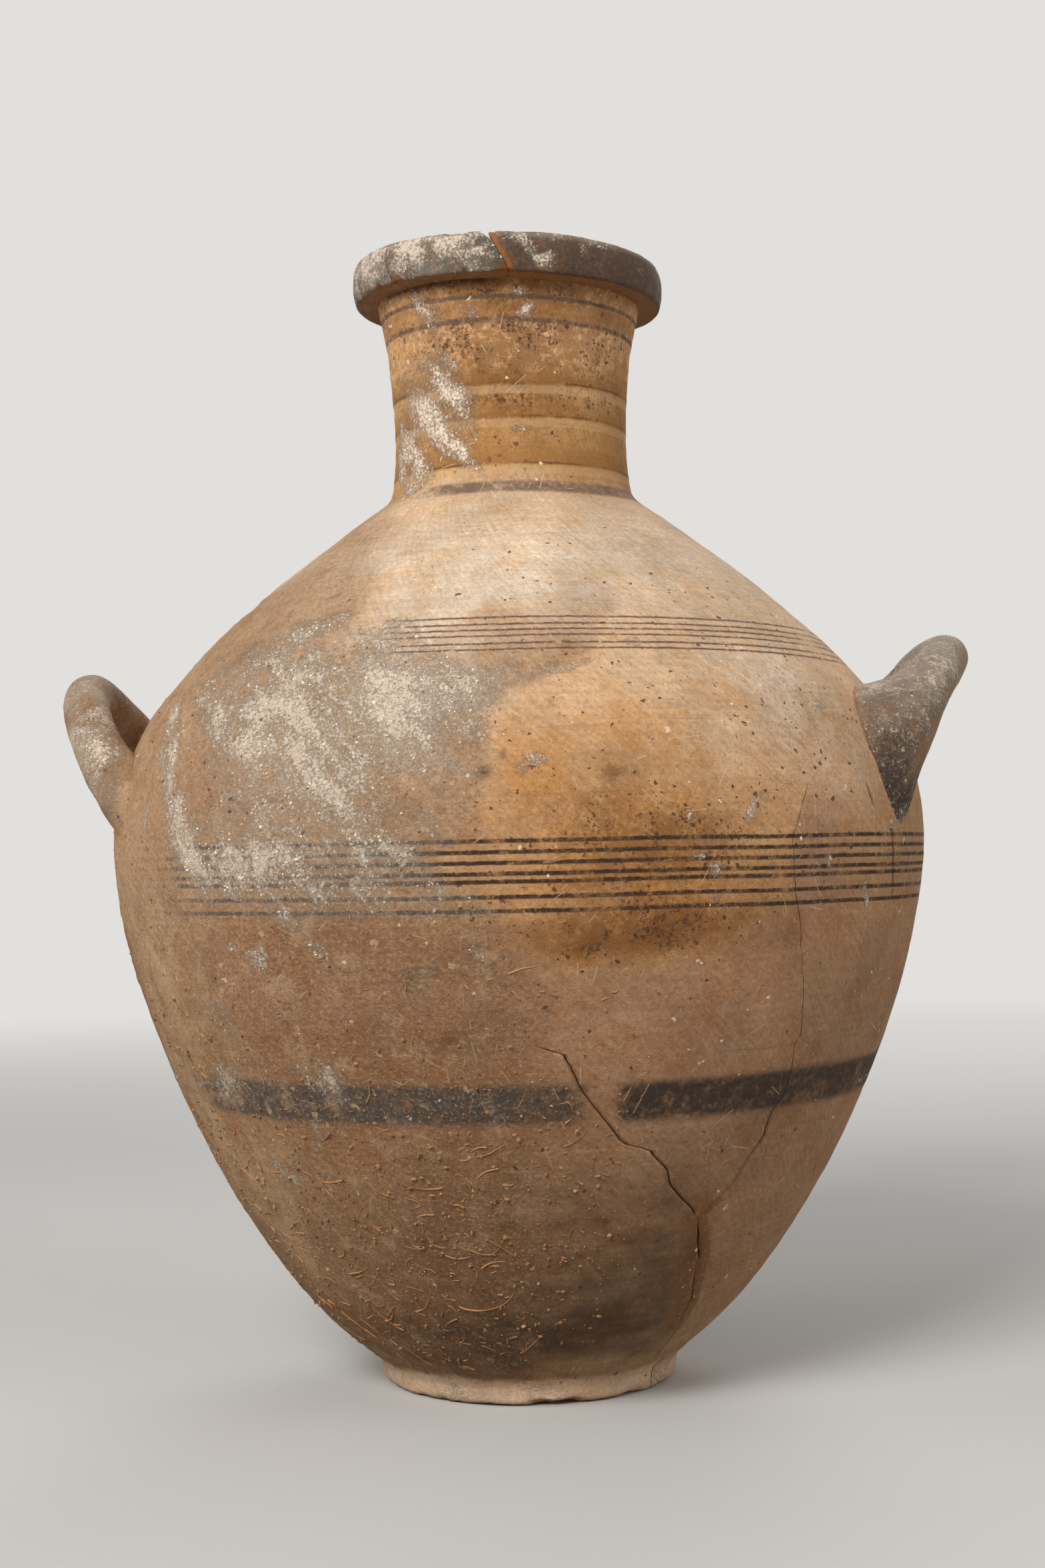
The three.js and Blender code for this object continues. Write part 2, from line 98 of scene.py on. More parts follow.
# The mended break on the right, from the foot up: the visible crack in front, a guess at the back
FRONT_BREAK = [
    (56.6, 7), (47.3, 21), (46.1, 33.5), (43.2, 51.2), (40.7, 61.6), (40.3, 69.2), (37.7, 77.6),
    (36.1, 84.7), (35.6, 90), (40.6, 102.2), (42.4, 112.8), (44.6, 122.9), (44.6, 134),
    (46.2, 139.9), (46, 151.8), (45.6, 161.4), (46.2, 164.9), (45.5, 174), (44.5, 185.8),
    (42.3, 208.8), (40.1, 234.1), (40, 247.5), (40.8, 253.6), (43, 268), (58, 300.6), (68, 318),
]
BACK_BREAK = [
    (118, 9), (112, 52), (121, 105), (128, 178), (136, 250), (134, 270), (122, 300), (112, 318),
]

# Open cracks that end inside a piece
FRONT_CRACK = [
    (34.8, 90.2), (33.5, 93.8), (31, 98.5), (28.1, 106), (27.1, 112.2), (25.1, 117), (23.6, 121),
    (21.9, 122.7), (18.8, 124.9), (16, 134.3), (13.8, 141), (11.9, 149.4), (10.3, 157.8),
    (9.1, 163.8), (5.6, 166),
]
TAIL_CRACK = [(63.4, 221.2), (62.3, 236), (62, 248.6), (57, 259.6), (56.2, 269.7)]

# The right edge of the film of soil on the front, from the foot up
FILM_EDGE = [
    (9, 9), (9, 150), (6, 190), (-0.3, 220.7), (-5, 231.6), (-4.7, 243), (-1.4, 250), (-1.3, 261),
    (-0.3, 272), (0, 282), (0, 295), (3, 307), (14, 322), (22, 345), (22, 501),
]

# Breaks of the rim: angle at its foot and at its top
RIM_FRONT_BREAK = (4.5, -3.0)
RIM_MIDDLE_BREAK = (-43.0, -45.5)
RIM_BACK_BREAK = (-108.0, -104.0)

# Breaks of the foot, and how high its joint is smeared on to the wall
FOOT_FRONT_BREAK = 57.0
FOOT_BACK_BREAK = 118.0
FOOT_SMEAR = 15.0

# Radii at the faces of rim and foot, where widths along them are measured
RIM_RADIUS = 72.0
FOOT_RADIUS = 67.0

# The inside floor as radii and heights, from the middle of its underside round to its top
FLOOR_OUTLINE = [(0.5, 6), (30, 6), (56, 6), (65, 8.6), (63, 15), (50, 13.6), (25, 12.6), (0.5, 12.4)]

# Paths of the loop handles: x, y, z and half thickness. Of the strap: x, y, z and a share of its width
RIGHT_LIMB = [
    (166.0, -83.2, 247, 1.2), (168.2, -78.3, 265, 7.4), (171, -71, 286, 13.6),
    (182, -51, 306.6, 13.2), (194, -24, 321.5, 11.6), (201, 0, 330, 10.6), (195, 24, 326, 11.6),
    (183, 51, 309, 13.2), (171, 71, 286, 13.6), (168.2, 78.3, 265, 7.4), (166.0, 83.2, 247, 1.2),
]
LEFT_LIMB = [
    (-164.6, -82.3, 247, 1.4), (-169.5, -77.6, 266, 8.0), (-179.5, -66, 283, 10.8),
    (-191.5, -47, 302, 10.8), (-200.8, -22, 316, 10.8), (-204, 0, 322, 10.6),
    (-200.8, 22, 316, 10.8), (-191.5, 47, 302, 10.8), (-179.5, 66, 283, 10.8),
    (-169.5, 77.6, 266, 8.0), (-164.6, 82.3, 247, 1.4),
]
STRAP = [
    (0, 42, 461, 1.12), (0, 60, 468, 1.12), (0, 77.5, 475, 1.02), (0, 99, 481.5, 0.98),
    (0, 129.5, 456, 0.96), (0, 137.5, 412, 0.96), (0, 134, 368, 1.08), (0, 129.5, 344, 1.3),
]

# Heights of the painted lines, and lower and upper edges of the painted bands
SHOULDER_LINES = (325.1, 327.7, 331.1, 333.7, 336.2, 339.3)
BELLY_LINES = (220.4, 225.8, 231.7, 234.8, 239.0, 243.2, 247.5)
BROAD_BAND = (134.5, 150.7)
SHOULDER_BAND = (404, 409.5)
NECK_BAND = (404, 410)
NECK_LOW_LINE = (481.7, 484.0)
NECK_HIGH_LINE = (492.0, 494.0)
NECK_BETWEEN_LINES = (484, 491.5)

# The washes of the neck: lower edge and rise
NECK_WASHES = ((418, 15), (439.4, 9), (454.5, 13))

# Heights at which the neck steps out under its bands, and how far
NECK_STEPS = (418, 439.4, 454.5, 481, 494)
NECK_STEP = 0.22

# What is stored on the corners of a mesh beside its ground colour
MARKS = ("lime", "soil", "film", "speck", "painted", "level", "crack")


def tone(red, green, blue):
    """A colour written as it looks on a screen, 0 to 255, as light."""
    shares = np.array([red, green, blue]) / 255
    return np.where(shares <= 0.04045, shares / 12.92, ((shares + 0.055) / 1.055) ** 2.4)


# Colours of the clay, from the foot up
GROUND = [
    (9, tone(196, 160, 124)),
    (40, tone(176, 138, 103)),
    (100, tone(172, 132, 98)),
    (150, tone(172, 132, 99)),
    (190, tone(176, 135, 101)),
    (215, tone(180, 138, 101)),
    (250, tone(196, 152, 110)),
    (290, tone(208, 166, 124)),
    (330, tone(216, 180, 143)),
    (370, tone(219, 191, 160)),
    (398, tone(213, 182, 149)),
    (414, tone(189, 141, 86)),
    (440, tone(194, 146, 92)),
    (480, tone(242, 191, 139)),
    (501, tone(222, 174, 124)),
]

# Colours of the bare pieces
HANDLE_CLAY = tone(206, 180, 152)
# The foot's pale clay, made paler still as painted light: the belly shades the foot from the lamps
LIT_FOOT_CLAY = tone(245, 215, 185)
PLAIN_CLAY = tone(176, 132, 94)
FRACTURE = tone(150, 99, 54)
SLIP_WARM = tone(86, 68, 57)
SLIP_GREY = tone(127, 121, 113)

# Colours of what lies on them
LIME = tone(245, 222, 197)
LIME_GRAIN = tone(252, 239, 221)
OCHRE = tone(204, 150, 92)
STAIN = tone(146, 96, 50)
# Dark soil, made darker still as painted shade for the lower body
SOIL_AND_SHADE = tone(80, 57, 37)
PINK = tone(184, 140, 107)
SMUDGE = tone(96, 80, 66)
DUST = tone(211, 174, 132)
# A pale cream; on the front of the shoulder it also paints the highlight where the light falls
PALE = tone(229, 206, 181)
FILM = tone(199, 159, 122)
LOW_FILM = tone(167, 124, 87)
GLUED = tone(160, 122, 96)
GLUE = tone(126, 86, 50)
BAND_PAINT = tone(122, 98, 82)

# What the clay's own patches and specks multiply its colour by
WARM_TINT = np.array([0.94, 0.82, 0.67])
RUSTY_TINT = np.array([0.87, 0.71, 0.54])
CHALKY_TINT = np.array([1.16, 1.23, 1.34])
BROWN_TINT = np.array([0.55, 0.44, 0.36])
LIGHT_TINT = np.array([1.3, 1.36, 1.46])

# The studio
BACKGROUND = tone(226, 224, 221)
FILL_LIGHT = np.array([1, 0.99, 0.97])
FILL_POWER = 0.18

# Spots on the wall and the rim: angle, height, half width, half height, lean, strength
LIME_SPOTS = [
    (-28, 300, 62, 40, -30, 0.36), (-22, 270, 50, 40, -40, 0.2), (-10, 298, 26, 30, -40, 0.24),
    (-32, 240, 44, 14, 0, 0.3), (61.5, 248, 2.4, 2, 0, 0.9), (60, 242, 2, 1.4, 0, 0.7),
    (-30.4, 309, 18, 11, -40, 0.5), (-30.2, 298, 14, 9, -40, 0.36), (-26.9, 318, 14, 7, -30, 0.4),
    (-34.7, 293.5, 17, 5, -50, 0.42), (-24.7, 287, 16, 6, -50, 0.46),
    (-19.4, 276, 15, 6, -50, 0.46), (-40.7, 300, 15, 5, -45, 0.46), (-48.3, 311, 16, 5, -50, 0.36),
    (-14.1, 306.6, 15, 10, -40, 0.46), (-13.1, 293, 12, 8, -50, 0.46),
    (-9.1, 289, 10, 5, -60, 0.34), (-17.8, 315, 12, 6, -30, 0.36), (-8, 312, 13, 8, -20, 0.28),
    (-31.3, 340, 11, 4.5, 10, 0.5), (-36.2, 335.6, 10, 4, 20, 0.36), (-37.8, 327, 12, 5, 10, 0.4),
    (-16.5, 332, 9, 8, -60, 0.5), (-32.1, 239.5, 15, 6, 0, 0.55), (-36.5, 243.6, 9, 5, 0, 0.4),
    (-28.8, 244.5, 7, 4, 0, 0.4), (-55.3, 303, 20, 3.6, -68, 0.54), (-49, 283, 22, 3.6, -66, 0.5),
    (-45.5, 264, 16, 3.6, -64, 0.46), (-51, 284, 16, 5, -70, 0.26), (-43, 247, 15, 4, -54, 0.5),
    (-39, 239, 12, 4, -30, 0.42), (-53.5, 260.7, 9, 2.6, -85, 0.5), (-5, 306, 18, 14, -30, 0.3),
    (-14.7, 255, 20, 3.4, -55, 0.36), (-10.7, 242, 14, 4.4, -50, 0.4),
    (-17.3, 263, 14, 3, -60, 0.32), (-37.2, 262, 4, 3, 0, 0.5), (-36.3, 205.3, 4.5, 4, -40, 0.7),
    (-31.9, 202.2, 4, 3.6, -60, 0.7), (-22, 205, 9, 2.6, -40, 0.4), (-1.4, 201.3, 8, 2, -70, 0.36),
    (-21.1, 230, 16, 5, -50, 0.34), (-14.9, 233.5, 10, 6, -80, 0.4), (-5.7, 229.3, 8, 5, -80, 0.3),
    (-26, 222, 10, 3, -30, 0.3), (0.9, 314.5, 12, 4, 10, 0.3), (7.2, 313, 12, 3, 24, 0.28),
    (13.9, 320, 12, 2.6, 28, 0.34), (-1.7, 311, 5, 4, 0, 0.4), (6.6, 276, 6, 3, 30, 0.36),
    (28.5, 231.5, 3.2, 2.8, 0, 1.1), (26, 240, 4, 1.2, -20, 0.9), (29, 221, 2.4, 1.2, -20, 0.9),
    (54.5, 222, 1.6, 4, 0, 0.9), (34, 259, 4, 1.4, 50, 0.8), (46, 238, 1, 5, 0, 0.7),
    (25, 257, 2.4, 1.2, -50, 0.6), (51, 300, 2, 1.5, -30, 0.9), (22, 330, 3, 2, 30, 0.6),
    (-30, 150, 60, 22, 0, 0.14), (-24, 150, 5, 4, -60, 0.4), (-40, 110, 8, 6, -60, 0.36),
    (-45, 150, 7, 6, 0, 0.42), (-42, 178, 12, 6, -60, 0.3), (-28, 128, 5, 6, -60, 0.42),
    (-35, 92, 5, 4, 0, 0.34), (150, 300, 46, 24, -35, 0.42), (168, 270, 30, 12, 30, 0.42),
    (-140, 240, 60, 22, -40, 0.42), (-120, 310, 40, 16, 20, 0.4), (105, 205, 22, 9, 0, 0.3),
    (-165, 175, 34, 12, 35, 0.3), (-150, 360, 30, 10, 0, 0.3),
]
NECK_LIME_SPOTS = [
    (-37.2, 490.3, 9, 4, -55, 0.5), (-12.6, 487.5, 5, 3.4, -20, 0.46),
    (11.6, 487, 2.4, 4.4, -40, 0.8), (-27, 469.4, 6, 2, -45, 0.4), (-32.2, 460.4, 12, 5, -50, 0.34),
    (-25.8, 450.6, 12, 5, -55, 0.4), (-46.6, 446.4, 10, 5, -50, 0.5), (-36, 441, 14, 6, -50, 0.5),
    (-33, 437, 13, 5, -52, 0.5), (-21.7, 427, 10, 3, -52, 0.46), (-59.7, 433, 12, 4, -60, 0.46),
    (-46, 424.5, 12, 4, -52, 0.5), (-46.2, 412, 9, 4, -80, 0.42), (-62, 420, 12, 5, -58, 0.4),
    (8.9, 433, 3, 1.6, 0, 0.8), (-15.6, 421, 8, 1.6, -45, 0.4), (9.8, 497, 3, 2, -40, 0.5),
    (-40, 448, 30, 22, -50, 0.2), (120, 450, 16, 12, 30, 0.45), (-150, 470, 18, 10, -30, 0.4),
]
OCHRE_SPOTS = [
    (5, 290, 24, 22, 0, 0.62), (10, 262, 40, 16, 0, 0.7), (20, 286, 26, 16, 0, 0.5),
    (28, 254, 34, 14, 0, 0.7), (12, 236, 50, 16, 0, 0.7), (30, 232, 30, 14, 0, 0.5),
    (14, 210, 34, 12, 0, 0.7), (24, 212, 26, 12, 0, 0.6), (4, 318, 30, 12, 10, 0.4),
    (48, 240, 26, 30, 0, 0.4), (170, 230, 60, 26, 0, 0.5), (-110, 220, 50, 30, 0, 0.35),
]
STAIN_SPOTS = [
    (27, 251, 24, 8, 6, 0.22), (16, 208, 36, 9, 0, 0.5), (27, 213, 30, 10, 0, 0.44),
    (14, 228, 26, 10, 0, 0.36), (22, 240, 24, 9, 0, 0.36), (16, 266, 16, 13, 40, 0.34),
    (18, 280, 12, 9, 0, 0.28), (5, 204, 26, 7, 0, 0.36), (165, 222, 40, 10, 0, 0.5),
    (-128, 200, 34, 12, 0, 0.4), (48, 128, 7, 40, 8, 0.2), (38.5, 76, 7, 22, 10, 0.4),
    (42, 48, 8, 26, 14, 0.4),
]
# Soil spots; the wide ones low on the front also paint the shade under the belly
SOIL_AND_SHADE_SPOTS = [
    (14, 54, 92, 54, 0, 0.4), (28, 44, 50, 38, 0, 0.26), (8, 34, 70, 20, 0, 0.24),
    (14, 100, 66, 30, 0, 0.24), (-22, 34, 66, 18, 0, 0.3), (33, 78, 16, 30, 8, 0.24),
    (-4, 128, 40, 12, 0, 0.14), (-170, 60, 130, 44, 0, 0.4), (-100, 46, 70, 34, 0, 0.36),
    (140, 80, 80, 34, 0, 0.28),
]
PINK_SPOTS = [
    (-38, 268, 26, 20, 0, 0.5), (-26, 190, 46, 24, 0, 0.5), (45, 232, 10, 34, 0, 0.75),
    (-6, 178, 40, 16, 0, 0.35), (32, 192, 30, 12, 0, 0.5), (46, 286, 34, 22, 0, 0.3),
    (150, 180, 60, 40, 0, 0.5),
]
SMUDGE_SPOTS = [
    (-10, 195, 6, 5, 0, 0.4), (-7, 198, 5, 4, 0, 0.4), (-4, 170, 12, 4, 0, 0.25),
    (-0.1, 274.2, 2.6, 2.4, 0, 0.95), (2.6, 281, 1.4, 1.8, 0, 0.9), (15.4, 271.5, 2.8, 2.4, 0, 0.4),
    (-170, 190, 20, 9, 0, 0.4), (40, 205, 14, 6, 0, 0.2),
]
DUST_SPOTS = [
    (-60, 140, 44, 90, 0, 0.75), (-54, 205, 40, 34, 0, 0.55), (-44, 92, 30, 40, 0, 0.4),
    (-20, 112, 50, 12, 0, 0.22), (-66, 270, 30, 60, 0, 0.4), (150, 120, 60, 40, 0, 0.3),
]
# Pale patches; those on the front of the shoulder are partly a painted highlight
PALE_AND_HIGHLIGHT_SPOTS = [
    (0, 372, 60, 16, 0, 0.7), (12, 354, 50, 14, 0, 0.6), (46, 318, 34, 20, 0, 0.5),
    (34, 290, 20, 14, 0, 0.3), (44, 296, 30, 30, -30, 0.4), (53, 278, 20, 22, -20, 0.3),
    (150, 370, 80, 20, 0, 0.5), (-7, 346, 42, 15, 0, 0.6), (-9, 331, 34, 12, 0, 0.5),
    (-5, 312, 28, 18, -20, 0.75), (-11, 294, 26, 18, -40, 0.6), (-24, 300, 50, 40, -30, 0.3),
]
SPECK_SPOTS = [
    (10, 262, 44, 24, 0, 0.5), (20, 236, 60, 22, 0, 0.55), (17, 210, 54, 13, 0, 0.95),
    (26, 252, 30, 12, 0, 0.36), (46, 296, 60, 46, 0, 0.5), (15.4, 271.5, 5, 4, 0, 0.7),
    (170, 240, 70, 40, 0, 0.5), (-110, 220, 60, 40, 0, 0.35), (14, 112, 24, 12, 0, 0.4),
    (20, 350, 80, 20, 0, 0.25),
]
RIM_LIME_SPOTS = [
    (-62, 512, 16, 6, 0, 0.75), (-55, 508, 12, 6, -30, 0.6), (-30, 512, 16, 5, 0, 0.7),
    (-14, 513, 12, 5, -20, 0.6), (-75, 510, 12, 8, 0, 0.7), (-50, 517, 30, 3, 0, 0.7),
    (17, 506.5, 6, 2.8, -20, 1.1), (11, 514, 7, 3, -30, 0.7), (31, 512, 3, 3, 0, 0.6),
    (0, 518, 60, 2.4, 0, 0.6), (60, 512, 6, 3, 0, 0.35), (140, 512, 26, 5, 0, 0.5),
    (-140, 511, 30, 6, 0, 0.6), (90, 516, 20, 3, 0, 0.4),
]

# Chips in the rim: angle, height, half width, half height
RIM_CHIPS = [(-40.6, 501.6, 3.6, 2.2), (-52, 500.6, 2.6, 2.2), (2.6, 501.2, 3.4, 2.4)]


def lattice(cells, seed):
    """A repeatable value between 0 and 1 for each whole-numbered cell."""
    x, y, z = np.moveaxis(cells.astype(np.int64), -1, 0)
    mixed = (x * 73856093) ^ (y * 19349663) ^ (z * 83492791) ^ (seed * 2654435761)
    for _ in range(2):
        mixed &= 0xFFFFFFFF
        mixed = (mixed ^ (mixed >> 16)) * 0x45D9F3B
    mixed &= 0xFFFFFFFF
    return (mixed ^ (mixed >> 16)) / 0xFFFFFFFF


def noise(places, size, seed):
    """Smooth noise from -1 to 1, with lumps of about a size."""
    scaled = np.asarray(places, float) / size
    cells = np.floor(scaled)
    share = scaled - cells
    share = share * share * (3 - 2 * share)
    total = np.zeros(scaled.shape[:-1])
    for corner in np.ndindex(2, 2, 2):
        offset = np.array(corner)
        weight = np.prod(np.where(offset == 1, share, 1 - share), axis=-1)
        total += weight * lattice(cells + offset, seed)
    return 2 * total - 1


def layered(places, size, seed, layers=3):
    """Noise with finer lumps on its lumps."""
    return sum(noise(places, size / 2**k, seed + 17 * k) / 2**k for k in range(layers))


def smooth(value, low, high):
    """A soft step from 0 at low to 1 at high."""
    share = np.clip((np.asarray(value, float) - low) / (high - low), 0, 1)
    return share * share * (3 - 2 * share)


def around(angle, radius, height):
    """Places at angles around the axis."""
    turn = np.radians(angle)
    angle, radius, height = np.broadcast_arrays(turn, radius, height)
    return np.stack([radius * np.sin(angle), -radius * np.cos(angle), height], axis=-1)


def angle_of(places):
    """The angles of places around the axis."""
    return np.degrees(np.arctan2(places[..., 0], -places[..., 1]))


def unit(directions):
    """Directions scaled to a length of one."""
    return directions / np.linalg.norm(directions, axis=-1, keepdims=True)


def upright(heights):
    """Heights as places on a line, for noise."""
    return np.stack([heights, 0 * heights, 0 * heights], axis=-1)


def turned(across, up, lean):
    """Distances along and across a lean, from distances across and up."""
    turn = math.radians(lean)
    way = across * math.cos(turn) + up * math.sin(turn)
    return way, up * math.cos(turn) - across * math.sin(turn)


def blot(across, up, wide, tall, lean):
    """A soft oval spot, 1 at its middle."""
    way, aside = turned(across, up, lean)
    return np.exp(-((way / wide) ** 2) - (aside / tall) ** 2)


def graded(value, levels, tones):
    """Colours that pass from tone to tone at levels."""
    tones = np.array(tones)
    return np.stack([np.interp(value, levels, tones[:, i]) for i in range(3)], axis=-1)


def covered(ground, covers):
    """A ground colour with other colours over it, each by its share."""
    for colour, share in covers:
        ground = ground + (colour - ground) * np.clip(share, 0, 1)[..., None]
    return ground


def spline(known, values, at):
    """A smooth curve through values at known places."""
    count = len(known)
    gaps = np.diff(known)
    slopes = np.diff(values) / gaps
    system = np.eye(count)
    right = np.zeros(count)
    for i in range(1, count - 1):
        system[i, i - 1 : i + 2] = gaps[i - 1], 2 * (gaps[i - 1] + gaps[i]), gaps[i]
        right[i] = 6 * (slopes[i] - slopes[i - 1])
    bend = np.linalg.solve(system, right)
    k = np.clip(np.searchsorted(known, at) - 1, 0, count - 2)
    left = at - known[k]
    rest = known[k + 1] - at
    gap = gaps[k]
    curved = (bend[k] * rest**3 + bend[k + 1] * left**3) / (6 * gap)
    before = (values[k] / gap - bend[k] * gap / 6) * rest
    after = (values[k + 1] / gap - bend[k + 1] * gap / 6) * left
    return curved + (before + after)


def cad_outline(*names):
    """Heights and radii of the outer wall of CAD nodes, read on the jar's left side."""
    near = 0.0005
    outward = 0.5
    spigot = 0.052
    found = {}
    for name in names:
        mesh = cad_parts[name].data
        for polygon in mesh.polygons:
            if polygon.normal.x > -outward:
                continue
            for index in polygon.vertices:
                x, y, z = mesh.vertices[index].co
                if abs(y) < near and x < -spigot:
                    height = round(z / MM)
                    found[height] = max(found.get(height, 0), -x / MM)
    heights = np.array(sorted(found), float)
    return heights, np.array([found[height] for height in sorted(found)])


def jar_outline():
    """The outer outline from the foot to the rim as close heights and radii, its corner softened."""
    heights = np.arange(FOOT_TOP, RIM_FOOT + OUTLINE_STEP / 2, OUTLINE_STEP)
    body = spline(*cad_outline("lower_body", "shoulder"), heights)
    neck = spline(*cad_outline("neck"), heights)
    radii = np.where(heights < NECK_FOOT, body, neck)
    reach = int(2 * CORNER_SOFTNESS / OUTLINE_STEP)
    weights = np.hanning(2 * reach + 3)[1:-1]
    padded = np.pad(radii, reach, mode="reflect", reflect_type="odd")
    return heights, np.convolve(padded, weights / weights.sum(), mode="valid")


HEIGHTS, RADII = jar_outline()
LENGTHS = np.concatenate([[0], np.cumsum(np.hypot(np.diff(HEIGHTS), np.diff(RADII)))])
LEAN_OUT = np.gradient(HEIGHTS, LENGTHS)
LEAN_UP = -np.gradient(RADII, LENGTHS)


def radius_at(height):
    """The wall's outer radius at heights."""
    return np.interp(height, HEIGHTS, RADII)


def length_at(height):
    """How far up the outline heights are, measured along it."""
    return np.interp(height, HEIGHTS, LENGTHS)


def lean_at(height):
    """The way out of the wall at heights: how far out and how far up."""
    return np.interp(height, HEIGHTS, LEAN_OUT), np.interp(height, HEIGHTS, LEAN_UP)


def on_wall(angle, height, lift):
    """Places on the wall, lifted square to it."""
    out, up = lean_at(height)
    return around(angle, radius_at(height) + lift * out, height + lift * up)


def rows_between(low, high, step):
    """Heights of rows at even distances along the outline, in whole groups for the inside."""
    first, last = length_at(low), length_at(high)
    groups = round((last - first) / step / INSIDE_ROWS)
    lengths = np.linspace(first, last, groups * INSIDE_ROWS + 1)
    heights = np.interp(lengths, LENGTHS, HEIGHTS)
    heights[0] = low
    heights[-1] = high
    return heights


def along(line, heights, ragged=0.0, seed=0):
    """The angles of a line at heights, with a ragged edge of so many mm."""
    points = np.array(line, float)
    angles = np.interp(heights, points[:, 1], points[:, 0])
    if ragged:
        angles = angles + np.degrees(ragged * layered(upright(heights), 7, seed) / radius_at(heights))
    return angles


def wrapped(angle):
    """Angles from -180 to 180."""
    return (np.asarray(angle) + 180) % 360 - 180


def spotted(angle, height, spots, seed, wander=5.0):
    """How strongly soft spots cover places on the wall."""
    radius = radius_at(height)
    places = around(angle, radius, height)
    aside = wander * layered(places, 18, seed)
    raised = wander * layered(places, 18, seed + 5)
    total = np.zeros(np.shape(radius))
    for centre, level, wide, tall, lean, strength in spots:
        across = np.radians(wrapped(angle - centre)) * radius + aside
        up = length_at(height) - length_at(level) + raised
        total = total + strength * blot(across, up, wide, tall, lean)
    return np.clip(total, 0, 1)


def wisps(angle, height, lean, seed):
    """Streaks along a lean, from 0 to 1."""
    across = np.radians(wrapped(angle)) * radius_at(height)
    way, aside = turned(across, length_at(height), lean)
    places = np.stack([way / 4.5, aside, 0 * way], axis=-1)
    return np.clip(0.5 + 0.95 * layered(places, 4.5, seed), 0, 1)


def painted(angle, height):
    """How much of the painted lines and bands is left at places on the wall."""
    angle = wrapped(angle)
    places = around(angle, radius_at(height), height)
    back = smooth(abs(angle), 95, 125)
    left = 1 - 0.45 * back * smooth(layered(places, 60, 31), -0.3, 0.6)
    gap = np.exp(-(((angle - 15.4 + 1.3 * layered(places, 8, 32)) / 2.3) ** 2))
    fading = smooth(angle, -66, -42) * (1 - 0.15 * smooth(angle, 0, 12) * (1 - smooth(angle, 15, 18)))
    shares_below = [
        (413, 0.3 + 0.7 * smooth(angle, -62, -15)),
        (390, smooth(angle, -30, -6) * (1 - 0.25 * smooth(angle, 52, 66))),
        (300, smooth(angle, -66, -34)),
        (160, fading * (1 - 0.85 * gap)),
    ]
    share = np.ones_like(left)
    for top, lower_share in shares_below:
        share = np.where(height < top, lower_share, share)
    return left * np.maximum(share, 0.75 * back)


def film_share(angle, height):
    """Where a thin gritty film still covers the wall: the left side, and patches at the back."""
    angle = wrapped(angle)
    places = around(angle, radius_at(height), height)
    wander = np.degrees(5 * layered(places, 20, 33) / radius_at(height))
    inside = along(FILM_EDGE, height) + wander - angle
    soft = np.interp(height, [150, 222], [11, 1.6])
    front = smooth(inside / soft, -0.8, 1.1)
    back = smooth(abs(angle), 100, 130) * smooth(layered(places, 90, 34), -0.2, 0.2)
    left = front * (angle < 90) * (1 - smooth(-angle, 100, 130))
    end = 340 + 46 * smooth(-angle, 14, 50)
    top = 1 - smooth(height - end + 22 * layered(places, 34, 35), -34, 34)
    return np.clip(np.maximum(left, back) * top, 0, 1)


